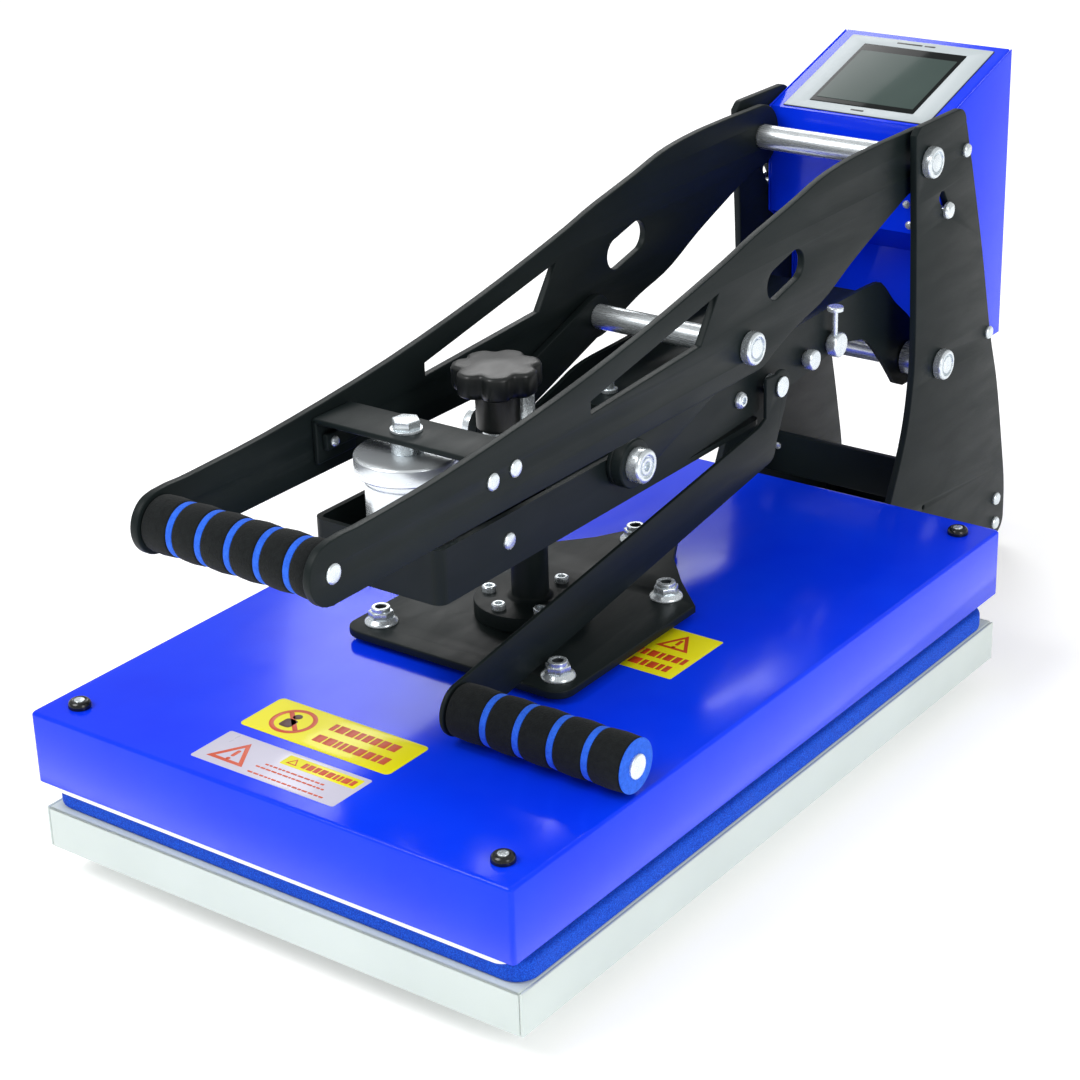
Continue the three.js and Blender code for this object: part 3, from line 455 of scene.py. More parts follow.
def outline_loops(node, axis, side):
    """The outlines of a CAD node's flat end face, as loops of 2-D points in mm."""
    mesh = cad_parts[node].data
    k = "XYZ".index(axis)
    across = [i for i in range(3) if i != k]
    values = [v.co[k] for v in mesh.vertices]
    level = max(values) if side > 0 else min(values)

    def flat(co):
        return tuple(round((co[i] - ORIGIN[i]) / MM, 3) for i in across)

    # An edge that two triangles of the face share lies inside it, and its two directions cancel.
    rim = {}
    for poly in mesh.polygons:
        if any(abs(mesh.vertices[i].co[k] - level) > 2e-5 for i in poly.vertices):
            continue
        ids = [flat(mesh.vertices[i].co) for i in poly.vertices]
        for a, b in zip(ids, ids[1:] + ids[:1]):
            if a == b:
                continue
            if (b, a) in rim:
                del rim[(b, a)]
            else:
                rim[(a, b)] = True
    following = {}
    for a, b in rim:
        following.setdefault(a, []).append(b)
    loops = []
    while following:
        start = next(iter(following))
        loop, here = [start], start
        while True:
            step = following[here].pop()
            if not following[here]:
                del following[here]
            if step == start:
                break
            loop.append(step)
            here = step
            if here not in following:
                break
        if len(loop) > 2:
            loops.append([Vector(p) for p in loop])
    return loops


def refine(loop, corner=38, step=5):
    """Curves a polygon's gentle turns, and leaves its corners and its long straights."""
    points = [p for i, p in enumerate(loop)
              if (loop[i - 1] - p).length > 0.02 and (p - loop[i - 1]).angle(
                  loop[(i + 1) % len(loop)] - p, 0) > math.radians(0.4)]
    count = len(points)
    tangents = []
    for i, p in enumerate(points):
        a, b = p - points[i - 1], points[(i + 1) % count] - p
        if a.angle(b, 0) > math.radians(corner):
            tangents.append(None)
        elif a.length > 2.6 * b.length:
            tangents.append(a.normalized())
        elif b.length > 2.6 * a.length:
            tangents.append(b.normalized())
        else:
            tangents.append((a.normalized() * b.length + b.normalized() * a.length).normalized())
    out = []
    for i, p in enumerate(points):
        q = points[(i + 1) % count]
        chord = q - p
        length = chord.length
        t0 = tangents[i] or chord.normalized()
        t1 = tangents[(i + 1) % count] or chord.normalized()
        swing = t0.angle(chord, 0) + t1.angle(chord, 0)
        pieces = max(1, min(10, round(math.degrees(swing) / step)))
        for s in range(pieces):
            t = s / pieces
            h00, h10 = 2 * t**3 - 3 * t**2 + 1, t**3 - 2 * t**2 + t
            h01, h11 = -2 * t**3 + 3 * t**2, t**3 - t**2
            out.append(p * h00 + t0 * length * h10 + q * h01 + t1 * length * h11)
    return out


def plate_from_loops(name, loops, axis, low, high, bevel, resolution=2):
    """A plate with round edges between two levels (mm) on an axis, from outlines across it."""
    curve = bpy.data.curves.new(name, "CURVE")
    curve.dimensions = "2D"
    curve.fill_mode = "BOTH"
    curve.extrude = ((high - low) / 2 - bevel) * MM
    curve.bevel_depth = bevel * MM
    curve.bevel_resolution = resolution
    curve.offset = -bevel * MM
    for loop in loops:
        spline = curve.splines.new("POLY")
        spline.points.add(len(loop) - 1)
        for point, target in zip(loop, spline.points):
            target.co = (point[0] * MM, point[1] * MM, 0, 1)
        spline.use_cyclic_u = True
    maker = bpy.data.objects.new(name + "_outline", curve)
    scene.collection.objects.link(maker)
    bpy.context.view_layer.update()
    mesh = bpy.data.meshes.new_from_object(maker.evaluated_get(bpy.context.evaluated_depsgraph_get()))
    bpy.data.objects.remove(maker)
    basis, direction = {
        "X": (Matrix(((0, 0, 1), (1, 0, 0), (0, 1, 0))), Vector((1, 0, 0))),
        "Y": (Matrix(((1, 0, 0), (0, 0, -1), (0, 1, 0))), Vector((0, 1, 0))),
        "Z": (Matrix.Identity(3), Vector((0, 0, 1))),
    }[axis]
    centre = (low + high) / 2 * MM
    mesh.transform(Matrix.Translation(ORIGIN + direction * centre) @ basis.to_4x4())
    bm = bmesh.new()
    bm.from_mesh(mesh)
    bmesh.ops.remove_doubles(bm, verts=bm.verts, dist=2e-6)
    bpy.data.meshes.remove(mesh)
    return bm


def cut_plate(name, loops, axis, low, high, bevel, body, mat, slot, replaces=(), resolution=2):
    """One piece cut from plate, from outlines across an axis."""
    bm = plate_from_loops(name, loops, axis, low, high, bevel, resolution)
    return finish_piece(name, bm, body, mat, replaces)


def plate(name, node, axis, body, bevel, side=1):
    """A black plate with the outline of a CAD node, its curves smooth and its edges round."""
    low, high = span(node)
    k = "XYZ".index(axis)
    loops = [refine(loop) for loop in outline_loops(node, axis, side)]
    cut_plate(name, loops, axis, low[k], high[k], bevel, body, M["black"], "black_powder", [node])


def circle_loop(u, v, radius, count, phase=0.0):
    turns = (phase + 2 * math.pi * i / count for i in range(count))
    return [Vector((u + radius * math.cos(a), v + radius * math.sin(a))) for a in turns]


def rect_loop(u0, u1, v0, v1, radius, steps=6):
    """A rectangle with round corners."""
    out = []
    for cu, cv, start in ((u1 - radius, v0 + radius, -90), (u1 - radius, v1 - radius, 0),
                          (u0 + radius, v1 - radius, 90), (u0 + radius, v0 + radius, 180)):
        for i in range(steps + 1):
            a = math.radians(start + 90 * i / steps)
            out.append(Vector((cu + radius * math.cos(a), cv + radius * math.sin(a))))
    return out


make_camera()
make_stage()
M = make_materials()


# ------------ platen: cover, heater, caps, studs
def build_cover():
    """The cover: an upside-down tray of sheet metal, open below, with rolled upper edges."""
    lo, hi = span("cover")
    wall, edge, corner, steps = 2.0, 2.6, 3.4, 5
    bm = bmesh.new()

    def ring(inset, z, radius):
        loop = rect_loop(lo.x + inset, hi.x - inset, lo.y + inset, hi.y - inset, max(radius, 0.3), steps)
        return [bm.verts.new(at(p.x, p.y, z)) for p in loop]

    ceiling = ring(wall, hi.z - wall, corner - wall)
    rings = [ceiling, ring(wall, lo.z, corner - wall), ring(wall * 0.25, lo.z, corner - wall * 0.25),
             ring(0, lo.z + wall * 0.25, corner)]
    for i in range(steps + 1):
        a = math.radians(90 * i / steps)
        rings.append(ring(edge * (1 - math.cos(a)), hi.z - edge * (1 - math.sin(a)), corner))
    bridge(bm, rings)
    bm.faces.new(rings[-1])
    bm.faces.new(list(reversed(ceiling)))
    finish_piece("cover_shell", bm, "platen", M["blue"], ["cover"], 50)


def build_heater():
    low, high = span("heater_plate")
    side_inset, corner = 5.5, 10
    loop = rect_loop(low.x + side_inset, high.x - side_inset, low.y, high.y, corner)
    cut_plate("heater_plate_body", [loop], "Z", low.z, high.z, 1.0, "platen", M["heater"],
              "heater_aluminium", ["heater_plate"])
    dress_node("insulation", M["wool"])


def build_caps():
    """Four rubber domes on the cover, each with a screw in its middle."""
    top = span("cover")[1].z
    dome = [(0.1, 0), (0.1, 7.6), (0.5, 8.0), (2.6, 8.0), (4.2, 7.4), (5.3, 6.2), (5.6, 5.2),
            (5.35, 4.6), (5.35, 0)]
    screw = [(5.2, 0), (5.2, 4.0), (6.0, 3.6), (6.25, 2.4), (6.25, 0)]
    for corner in CORNERS:
        node = f"cap_{corner}"
        c = mid(node)
        lathe(f"cap_dome_{corner}", dome, "Z", (c.x, c.y, top), "platen", M["rubber"],
              [node], 40, 0.4)
        lathe(f"cap_screw_{corner}", screw, "Z", (c.x, c.y, top - 0.3), "platen", M["zinc"],
              [], 32, 0.2)


def build_studs():
    """Five flanged nuts on the mounting plate, each round the hollow end of a stud."""
    plate("mounting_plate_body", "mounting_plate", "Z", "platen", 0.9)
    seat = span("mounting_plate")[1].z
    flange = [(0.05, 0), (0.05, 12.2), (1.0, 12.2), (2.0, 11.7), (3.4, 10.0), (4.2, 9.4), (4.2, 0)]
    sleeve = [(3.0, 0), (3.0, 6.9), (12.0, 6.9), (12.4, 6.2), (12.4, 4.2), (9.0, 4.0), (9.0, 0)]
    # The well is a dark disc that nearly fills each stud's hollow end: painted shade, standing in for the
    # shade in the hollow.
    well = [(9.1, 0), (9.1, 4.3), (11.6, 4.3), (11.6, 3.9), (9.5, 3.7), (9.5, 0)]
    nut_radius, bore, nut_low, nut_high = 9.2, 5.1, 4.0, 9.2
    for i in range(1, 6):
        node = f"platen_stud_{i}"
        c = mid(node)
        foot = (c.x, c.y, seat)
        lathe(f"stud_flange_{i}", flange, "Z", foot, "platen", M["zinc"], [node], 48, 0.3)
        loops = [circle_loop(c.x, c.y, nut_radius, 6, 0.3 * i), circle_loop(c.x, c.y, bore, 32)]
        cut_plate(f"stud_nut_{i}", loops, "Z", seat + nut_low, seat + nut_high, 0.7, "platen",
                  M["zinc"], "zinc")
        lathe(f"stud_end_{i}", sleeve, "Z", foot, "platen", M["zinc"], [], 36, 0.3)
        lathe(f"stud_socket_painted_shade_{i}", well, "Z", foot, "platen", M["socket_painted_shade"], [], 24, 0)


def build_column():
    c = mid("column")
    seat = span("mounting_plate")[1].z
    top = span("column")[1].z
    flange_top = seat + 12
    profile = [(seat + 0.3, 0), (seat + 0.3, 41), (flange_top, 41), (flange_top, 16.5), (seat + 14, 13.5),
               (top, 13.5), (top, 0)]
    axis = (c.x, c.y, 0)
    lathe("column_body", profile, "Z", axis, "platen", M["black"], ["column"], 64, 1.0)
    bolt = [(-0.5, 0), (-0.5, 5.2), (3.6, 5.2), (4.4, 4.4), (4.4, 2.6), (2.2, 2.4), (2.2, 0)]
    bolt_circle, bolts, first_turn = 31, 6, 20
    for i in range(bolts):
        turn = math.radians(360 / bolts * i + first_turn)
        spot = (c.x + bolt_circle * math.cos(turn), c.y + bolt_circle * math.sin(turn), flange_top)
        lathe(f"flange_bolt_{i + 1}", bolt, "Z", spot, "platen", M["zinc"], [], 28, 0.3)
    plate("yoke_body", "yoke_strap", "Z", "platen", 0.9)
    lo, hi = span("column_bolt")
    yoke_top = span("yoke_strap")[1].z
    c = mid("column_bolt")
    axis = (c.x, c.y, 0)
    bolt = [(lo.z, 0), (lo.z, 5), (yoke_top + 0.2, 5), (yoke_top + 0.2, 10), (yoke_top + 2.6, 10),
            (yoke_top + 2.6, 7.6), (hi.z, 7.6), (hi.z, 4.3), (hi.z - 5, 4.0), (hi.z - 5, 0)]
    lathe("column_bolt_head", bolt, "Z", axis, "platen", M["zinc"], ["column_bolt"], 48, 0.6)


# ------------ bed, base, uprights
def build_bed():
    """The tray under the pad: a folded sheet whose side flanges stand a gap away from its ends."""
    lo, hi = span("bed_tray")
    thick, gap = 2.0, 0.7
    left, right = lo.x + thick + gap, hi.x - thick - gap
    bm = bmesh.new()
    add_box(bm, left, right, lo.y, hi.y, hi.z - thick, hi.z, 0.9)
    add_box(bm, left, right, lo.y, lo.y + thick, lo.z, hi.z, 0.9)
    add_box(bm, left, right, hi.y - thick, hi.y, lo.z, hi.z, 0.9)
    for x0, x1 in ((lo.x, lo.x + thick), (hi.x - thick, hi.x)):
        add_box(bm, x0, x1, lo.y + 0.4, hi.y - 0.4, lo.z, hi.z - 0.2, 0.8)
    # The bend that closes the gap, a little below the top.
    add_box(bm, lo.x + 1.2, hi.x - 1.2, lo.y + 3, hi.y - 3, hi.z - thick - 0.6, hi.z - 0.8, 0.3, 1)
    finish_piece("bed_tray_folded", bm, "frame", M["pale"], ["bed_tray"])


def build_pad():
    """The silicone pad, wider than its CAD solid, with a soft upper edge."""
    lo, hi = span("silicone_pad")
    overhang, corner, steps = Vector((4.6, 0, 0)), 15, 8
    lo, hi = lo - overhang, hi + overhang
    bm = bmesh.new()
    rings = []
    for inset, z in ((1.6, lo.z), (0.4, lo.z + 1.2), (0, lo.z + 3.5), (0, hi.z - 4.0), (0.5, hi.z - 1.8),
                     (1.8, hi.z - 0.5), (3.6, hi.z)):
        loop = rect_loop(lo.x + inset, hi.x - inset, lo.y + inset, hi.y - inset, corner, steps)
        rings.append([bm.verts.new(at(p.x, p.y, z)) for p in loop])
    bridge(bm, rings)
    bm.faces.new(list(reversed(rings[0])))
    bm.faces.new(rings[-1])
    pad = finish_piece("pad_foam", bm, "frame", M["pad"], ["silicone_pad"], 60)


def build_base():
    for corner in CORNERS:
        node = f"foot_{corner}"
        lo, hi = span(node)
        c = mid(node)
        profile = [(lo.z, 0), (lo.z, 12.5), (lo.z + 1.5, 14), (hi.z, 15), (hi.z, 0)]
        lathe(f"foot_pad_{corner}", profile, "Z", (c.x, c.y, 0), "frame", M["foot"],
              [node], 40, 0.6)
    dress_node("base_frame", M["black"])


def head(name, centre, sign, body, radius, thick, style):
    """A bolt head whose seat lies at centre and whose face looks along sign * X."""
    r, t = radius, thick
    profile = {
        "dished": [(0, 0), (0, r - 0.6), (0.6, r), (t - 1.6, r), (t - 0.5, r - 0.7), (t, r - 1.9),
                   (t, r * 0.74), (t - 2.0, r * 0.70), (t - 2.0, r * 0.60), (t - 0.3, r * 0.56),
                   (t - 0.2, 0)],
        "socket": [(0, 0), (0, r), (t * 0.35, r), (t * 0.75, r * 0.86), (t, r * 0.62), (t, r * 0.40),
                   (t * 0.45, r * 0.38), (t * 0.45, 0)],
        "plain": [(0, 0), (0, r), (t * 0.45, r), (t * 0.8, r * 0.84), (t * 0.97, r * 0.5), (t, 0)],
    }[style]
    large = r > 8
    profile = mirrored(soft_profile(profile, 0.25 if large else 0.15), sign)
    lathe(name, profile, "X", centre, body, M["zinc"], [], 48 if large else 32, 0)


def shaft(name, node, body, steps, out, head_radius, head_thick, style, neck=8.0):
    """A rod along X with a head outside each plate; steps are (X where a width ends, radius)."""
    c = mid(node)
    half = []
    start = 0
    for x, r in steps:
        if start:
            half.append((start, r))
        half.append((x, r))
        start = x
    half += [(start, neck), (out + 0.1, neck)]
    profile = [(-out, 0), *mirrored(reversed(half), -1), *half, (out, 0)]
    lathe(name, profile, "X", (0, c.y, c.z), body, M["rod"], [node], 40, 0)
    for label, sign in SIDES:
        seat = (sign * (out + 0.15), c.y, c.z)
        head(f"{name}_head_{label}", seat, sign, body, head_radius, head_thick, style)


UPRIGHT_BOLTS = ((832, 185), (861, 22), (861, -1))  # Y and Z


def build_uprights():
    for label, side in SIDES:
        plate(f"upright_plate_{label}", f"upright_{label}", "X", "frame", 0.8, side)
    plate("crossbar_plate", "crossbar", "Y", "frame", 0.7)
    lo, hi = span("crossbar")
    rivet = [(0, 0), (0, 3.2), (-1.0, 2.9), (-1.7, 1.6), (-1.8, 0)]
    lathe("crossbar_rivet", rivet, "Y", (-58, lo.y, (lo.z + hi.z) / 2 + 6), "frame", M["zinc"],
          [], 24, 0)
    out = span("upright_right")[1].x
    inner = 78.6
    shaft("handle_shaft", "handle_pivot_shaft", "frame", [(66.5, 10), (inner, 9)], out, 12.5, 7.6, "dished")
    shaft("arm_shaft", "arm_pivot_shaft", "frame", [(55, 9), (inner, 14)], out, 12.5, 7.6, "dished")
    shaft("box_rod", "box_bolt", "frame", [(inner, 3)], out, 5.6, 3.6, "plain", 3)
    shaft("slot_rod", "slot_bolt", "frame", [(inner, 3)], out, 7.0, 4.8, "plain", 3)
    for i, (y, z) in enumerate(UPRIGHT_BOLTS):
        for label, sign in SIDES:
            head(f"upright_bolt_{i + 1}_{label}", (sign * out, y, z), sign, "frame", 5.6, 3.2, "plain")


# ------------ handle
GRIP_RADIUS = 19
RING_WIDTH = 5.0


def foam_grip(prefix, rod, foam, x0, x1, bore, ring_spots, body):
    """Foam sleeve on a rod: black segments with slightly sunk blue rings between them."""
    c = mid(rod)
    edges = [x0]
    for spot in ring_spots:
        edges += [spot - RING_WIDTH / 2, spot + RING_WIDTH / 2]
    edges.append(x1)
    for i, (a, b) in enumerate(zip(edges, edges[1:])):
        ring = i % 2 == 1
        kind, mat = ("ring", M["ring"]) if ring else ("foam", M["foam"])
        sunk, bulge, rounding = (1.0, 0.1, 0.3) if ring else (0.5, 0.5, 1.8)
        r = GRIP_RADIUS - sunk
        profile = [(a, bore), (a, r - 0.1), ((a + b) / 2, r + bulge), (b, r - 0.1), (b, bore)]
        bm = bmesh.new()
        add_lathe(bm, soft_profile(profile, rounding, 4) + [(a, bore)], "X", (0, c.y, c.z), 72)
        bmesh.ops.remove_doubles(bm, verts=bm.verts, dist=1e-7)
        piece = finish_piece(f"{prefix}_{kind}_{i // 2 + 1}", bm, body, mat,
                             [] if i else [foam], 50)


CROSS_BOLTS = ((164, 281), (188, 282))  # Y and Z


def build_handle():
    for label, side in SIDES:
        plate(f"handle_arm_{label}", f"handle_plate_{label}", "X", "handle", 0.9, side)
    out = span("handle_plate_right")[1].x
    c = mid("grip_rod")
    foam_grip("grip", "grip_rod", "grip_foam", -67.3, 67.3, 12.1, (-44, -20, 4, 28, 52), "handle")
    shoulder = 67.6
    core = [(-out, 0), (-out, 4), (-shoulder, 4), (-shoulder, 12), (shoulder, 12), (shoulder, 4), (out, 4),
            (out, 0)]
    lathe("grip_core", core, "X", (0, c.y, c.z), "handle", M["rod"], ["grip_rod"], 40, 0)
    for label, sign in SIDES:
        head(f"grip_bolt_{label}", (sign * out, c.y, c.z), sign, "handle", 6.6, 1.6, "plain")
        bm = bmesh.new()
        add_box(bm, *sorted((sign * 59.0, sign * 63.2)), 157, 190, 276, 287, 0.6)
        finish_piece(f"cross_strap_{label}", bm, "handle", M["black"], [f"cross_studs_{label}"])
        for i, (y, z) in enumerate(CROSS_BOLTS):
            head(f"cross_bolt_{i + 1}_{label}", (sign * out, y, z), sign, "handle", 6.0, 2.0, "plain")
            head(f"cross_bolt_end_{i + 1}_{label}", (sign * 59.1, y, z), -sign, "handle", 3.6, 2.6, "plain")


def build_cross_plate():
    """The folded plate between the handle's sides, with the keeper disc hung under it."""
    lo, hi = span("cross_plate")
    thick, edge = 4.0, 0.9
    bm = bmesh.new()
    add_box(bm, lo.x + 1.2, hi.x - 1.2, lo.y, hi.y, hi.z - thick, hi.z, edge)
    for x0, x1 in ((lo.x, lo.x + thick), (hi.x - thick, hi.x)):
        add_box(bm, x0, x1, lo.y, hi.y, lo.z, hi.z - 1.0, edge)
    finish_piece("cross_plate_folded", bm, "handle", M["black"], ["cross_plate"])

    top, under = hi.z, hi.z - thick
    lo, hi = span("keeper_disc")
    c = mid("keeper_disc")
    axis = (c.x, c.y, 0)
    disc = [(lo.z, 0), (lo.z, 35.2), (lo.z + 0.9, 36), (hi.z - 1.2, 36), (hi.z, 34.8), (hi.z, 0)]
    lathe("keeper_body", disc, "Z", axis, "handle", M["turned"], ["keeper_disc"], 96, 0.4)
    bush = [(hi.z, 0), (hi.z, 11), (under, 11), (under, 0)]
    lathe("keeper_bush", bush, "Z", axis, "handle", M["zinc"], ["keeper_bolt"], 40, 0.6)
    washer = [(top, 0), (top, 11), (top + 1.8, 11), (top + 1.8, 0)]
    lathe("keeper_washer", washer, "Z", axis, "handle", M["zinc"], [], 40, 0.4)
    cut_plate("keeper_hex", [circle_loop(c.x, c.y, 9.8, 6, 0.35)], "Z", top + 1.6, top + 8, 0.9,
              "handle", M["zinc"], "zinc", (), 3)


# ------------ links
def build_links():
    """Two flat links, round at both ends, with a boss and a large socket bolt at the arm's end."""
    out = span("handle_plate_right")[1].x
    shaft("link_rod", "link_shaft", "link", [(59, 9.5), (67.7, 9)], out, 12.5, 7.7, "dished")
    low, high = mid("link_bolt_right"), mid("link_shaft")
    lean = math.atan2(high.z - low.z, high.y - low.y)
    radius, steps = 16, 32
    outline = []
    for centre, start in ((low, lean + math.pi / 2), (high, lean - math.pi / 2)):
        for i in range(steps + 1):
            a = start + math.pi * i / steps
            outline.append(Vector((centre.y + radius * math.cos(a), centre.z + radius * math.sin(a))))
    seat, r = 67.4, 12.5
    boss = [(54.6, 0), (54.6, 17.4), (57.8, 18), (58.4, 17.2), (59.0, 18), (66.4, 18), (seat, 17.2),
            (seat, 0)]
    bolt = [(seat, 0), (seat, r), (seat + 8.6, r), (seat + 9.9, r - 0.9), (seat + 10.5, r - 2.1),
            (seat + 10.5, 8.4), (seat + 8.6, 8.0), (seat + 8.6, 6.6), (seat + 10.1, 6.2),
            (seat + 10.1, 3.4), (seat + 7.0, 3.2), (seat + 7.0, 0)]
    axis = (0, low.y, low.z)
    for label, sign in SIDES:
        cut_plate(f"link_plate_{label}", [outline], "X", *sorted((sign * 60, sign * 66)), 0.9, "link",
                  M["black"], "black_powder", [f"link_{label}"])
        lathe(f"link_boss_{label}", mirrored(soft_profile(boss, 0.4), sign), "X", axis, "link",
              M["black"], [], 64, 0)
        lathe(f"link_bolt_head_{label}", mirrored(soft_profile(bolt, 0.4), sign), "X", axis, "link",
              M["zinc"], [f"link_bolt_{label}"], 56, 0)


# ------------ arm
ARM_OUT = 54  # outer face of the arm's walls


def build_magnet():
    c = mid("electromagnet")
    lo, hi = span("electromagnet")
    body = [(lo.z, 0), (lo.z, 25), (lo.z + 5, 29.5), (hi.z - 5.2, 29.5), (hi.z - 4.8, 28.9),
            (hi.z - 4.4, 29.5), (hi.z - 0.8, 29.5), (hi.z, 28.6), (hi.z, 22), (hi.z - 0.5, 21.6),
            (hi.z - 0.5, 12.4), (hi.z, 12), (hi.z, 0)]
    lathe("magnet_body", body, "Z", (c.x, c.y, 0), "arm", M["turned"], ["electromagnet"], 96, 0.3)


def build_stops():
    """The stop pin and the lock pin on their strap, and the T screw above the lock pin."""
    lo, hi = span("stop_pins")
    stop = [(49, 0), (49, 4), (54.2, 4), (54.2, 6), (57, 6), (57, 8), (63, 8), (64, 7), (64, 0)]
    lock = [(49, 0), (49, 5), (54.2, 5), (54.2, 7), (57, 7), (57, 10), (64, 10), (65, 9), (65, 0)]
    bm = bmesh.new()
    add_box(bm, 44, 49.7, lo.y, hi.y, lo.z, hi.z, 0.6)
    add_lathe(bm, soft_profile(stop, 0.5), "X", (0, 583.6, 232), 40)
    add_lathe(bm, soft_profile(lock, 0.5), "X", (0, 620.6, 233.4), 40)
    finish_piece("stop_pin_pair", bm, "arm", M["zinc"], ["stop_pins"])
    screw = [(240, 0), (240, 2.2), (262, 2.2), (262, 6.5), (265, 6.5), (265.6, 5.6), (265.6, 0)]
    lathe("stop_screw", screw, "Z", (60.5, 617.5, 0), "arm", M["zinc"], [], 24, 0.4)


def build_arm():
    dress_node("arm_shell", M["black"], 0.7, 40)
    build_magnet()
    shaft("arm_tie_rod", "arm_tie", "arm", [(50, 4)], ARM_OUT, 6.6, 4.4, "socket", 4)
    for label, sign in SIDES:
        head(f"arm_screw_{label}", (sign * ARM_OUT, 204, 220), sign, "arm", 6.0, 2.4, "plain")
    c = mid("lever_pin")
    pin = [(44, 0), (44, 8), (49.7, 8), (49.7, 5), (54.3, 5), (54.3, 8), (62.2, 8), (62.2, 5), (65.9, 5),
           (65.9, 8), (67.4, 8), (67.4, 0)]
    lathe("lever_pin_body", pin, "X", (0, c.y, c.z), "arm", M["zinc"], ["lever_pin"], 40, 0.4)
    build_stops()
    nut = [(-54.1, 0), (-54.1, 6.2), (-57.4, 6.2), (-58.4, 5.2), (-58.4, 2.6), (-56.8, 2.4), (-56.8, 0)]
    lathe("arm_wall_nut", nut, "X", (0, 458, 236), "arm", M["zinc"], [], 28, 0.3)
    stud = [(240.2, 0), (240.2, 6.5), (243, 6.5), (243, 4.2), (252, 4.2), (252.6, 3.6), (252.6, 0)]
    lathe("arm_bridge_stud", stud, "Z", (-20, 426, 0), "arm", M["zinc"], [], 28, 0.3)


# ------------ knob, lever
def build_knob():
    """A lobed, finely ribbed skirt on a round hub."""
    c = mid("pressure_knob")
    lo, hi = span("pressure_knob")
    skirt_height, lobe_count, ribs = 19, 7, 84
    base = hi.z - skirt_height

    def lobes(turn, along):
        if along <= base - 1:
            return 1
        share = min(1.0, max(0.0, base + 17.6 - along))
        wave = 0.5 - 0.5 * math.cos(turn * lobe_count)
        rib = 0.005 * math.cos(turn * ribs) if base + 2 < along < hi.z - 5 else 0
        return 1 - 0.155 * share * wave ** 2.2 + rib

    skirt = [(base + 2, 20), (base, 21), (base - 0.5, 29.0), (base + 1.0, 30.8), (base + 4, 31.2),
             (base + 14.2, 31.2), (base + 15.6, 30.7), (base + 16.4, 29.6), (base + 16.8, 27.6),
             (base + 17.2, 22), (base + 17.6, 15), (base + 18.6, 8), (base + 19, 0)]
    hub = [(lo.z, 0), (lo.z, 13.2), (lo.z + 2, 15.2), (base - 2, 15.6), (base + 1, 19), (base + 3, 20),
           (base + 3, 0)]
    bm = bmesh.new()
    add_lathe(bm, skirt, "Z", (c.x, c.y, 0), ribs * 2, lobes)
    add_lathe(bm, soft_profile(hub, 0.6), "Z", (c.x, c.y, 0), 56)
    finish_piece("knob_body", bm, "knob", M["plastic"], ["pressure_knob"], 40)


def build_spindle():
    """The threaded spindle, with a collar on the yoke."""
    c = mid("pressure_knob")
    lo, hi = span("knob_spindle")
    crest, root, pitch, threaded = 6, 5.4, 1.5, 50
    profile = [(lo.z, 0), (lo.z, 5), (lo.z + 1, crest)]
    z = lo.z + 1
    while z < lo.z + threaded:
        profile += [(z + pitch / 2, root), (z + pitch, crest)]
        z += pitch
    collar = span("yoke_strap")[1].z
    profile += [(collar + 0.2, crest), (collar + 0.2, 11), (collar + 7.6, 11), (collar + 7.6, crest),
                (hi.z, crest), (hi.z, 0)]
    lathe("spindle_body", profile, "Z", (c.x, c.y, 0), "knob", M["rod"], ["knob_spindle"], 32, 0)


def build_lever():
    plate("lever_plate", "lever_bar", "X", "lever", 0.6)
    c = mid("lever_rod")
    axis = (0, c.y, c.z)
    lo, hi = span("lever_foam")
    x = hi.x - 1.2
    foam_grip("lever_grip", "lever_rod", "lever_foam", lo.x, x, 11.4,
              [lo.x + d for d in (30, 56, 83, 110)], "lever")
    disc = [(x, 0), (x, 17.9), (x + 0.7, 18.6), (x + 1.2, 17.8), (x + 1.2, 0)]
    lathe("lever_end_disc", disc, "X", axis, "lever", M["ring"], [], 72, 0.2)
    end = span("lever_rod")[1].x
    bolt = [(x + 1.0, 0), (x + 1.0, 8.4), (end - 0.5, 8.4), (end, 7.2), (end, 0)]
    lathe("lever_end_bolt", bolt, "X", axis, "lever", M["zinc"], [], 48, 0.4)
    core = [(59, 0), (59, 6.5), (62.2, 6.5), (62.2, 4), (65.8, 4), (65.8, 11), (x, 11), (x, 0)]
    lathe("lever_core", core, "X", axis, "lever", M["rod"], ["lever_rod"], 40, 0.3)


# ------------ control box
# The box seen from the side: its panel slopes from the back's top edge down to the brow, below which
# the front stands upright, turns in at the chin and goes down from the heel.
box_lo, box_hi = span("control_box")
BROW, CHIN, HEEL = (box_lo.y, 379), (box_lo.y, 290), (782, 262)
PANEL_TOP = (box_hi.y, box_hi.z)
PANEL_ANGLE = math.atan2(PANEL_TOP[1] - BROW[1], PANEL_TOP[0] - BROW[0])


def panel_sheet(name, x0, x1, down0, down1, out0, out1, mat, radius, holes=(), replaces=(), bevel=0.2):
    """A thin sheet on the sloping panel: x across, down the slope from its top edge, out of its face."""
    loops = [rect_loop(x0, x1, -down1, -down0, radius)]
    for hole_x0, hole_x1, hole_down0, hole_down1, hole_radius in holes:
        loops.append(rect_loop(hole_x0, hole_x1, -hole_down1, -hole_down0, hole_radius))
    bm = plate_from_loops(name, loops, "Z", out0, out1, bevel, 1)
    tilt = Matrix.Rotation(PANEL_ANGLE, 4, "X")
    bm.transform(Matrix.Translation(at(0, *PANEL_TOP)) @ tilt @ Matrix.Translation(-ORIGIN))
    finish_piece(name, bm, "frame", mat, replaces)


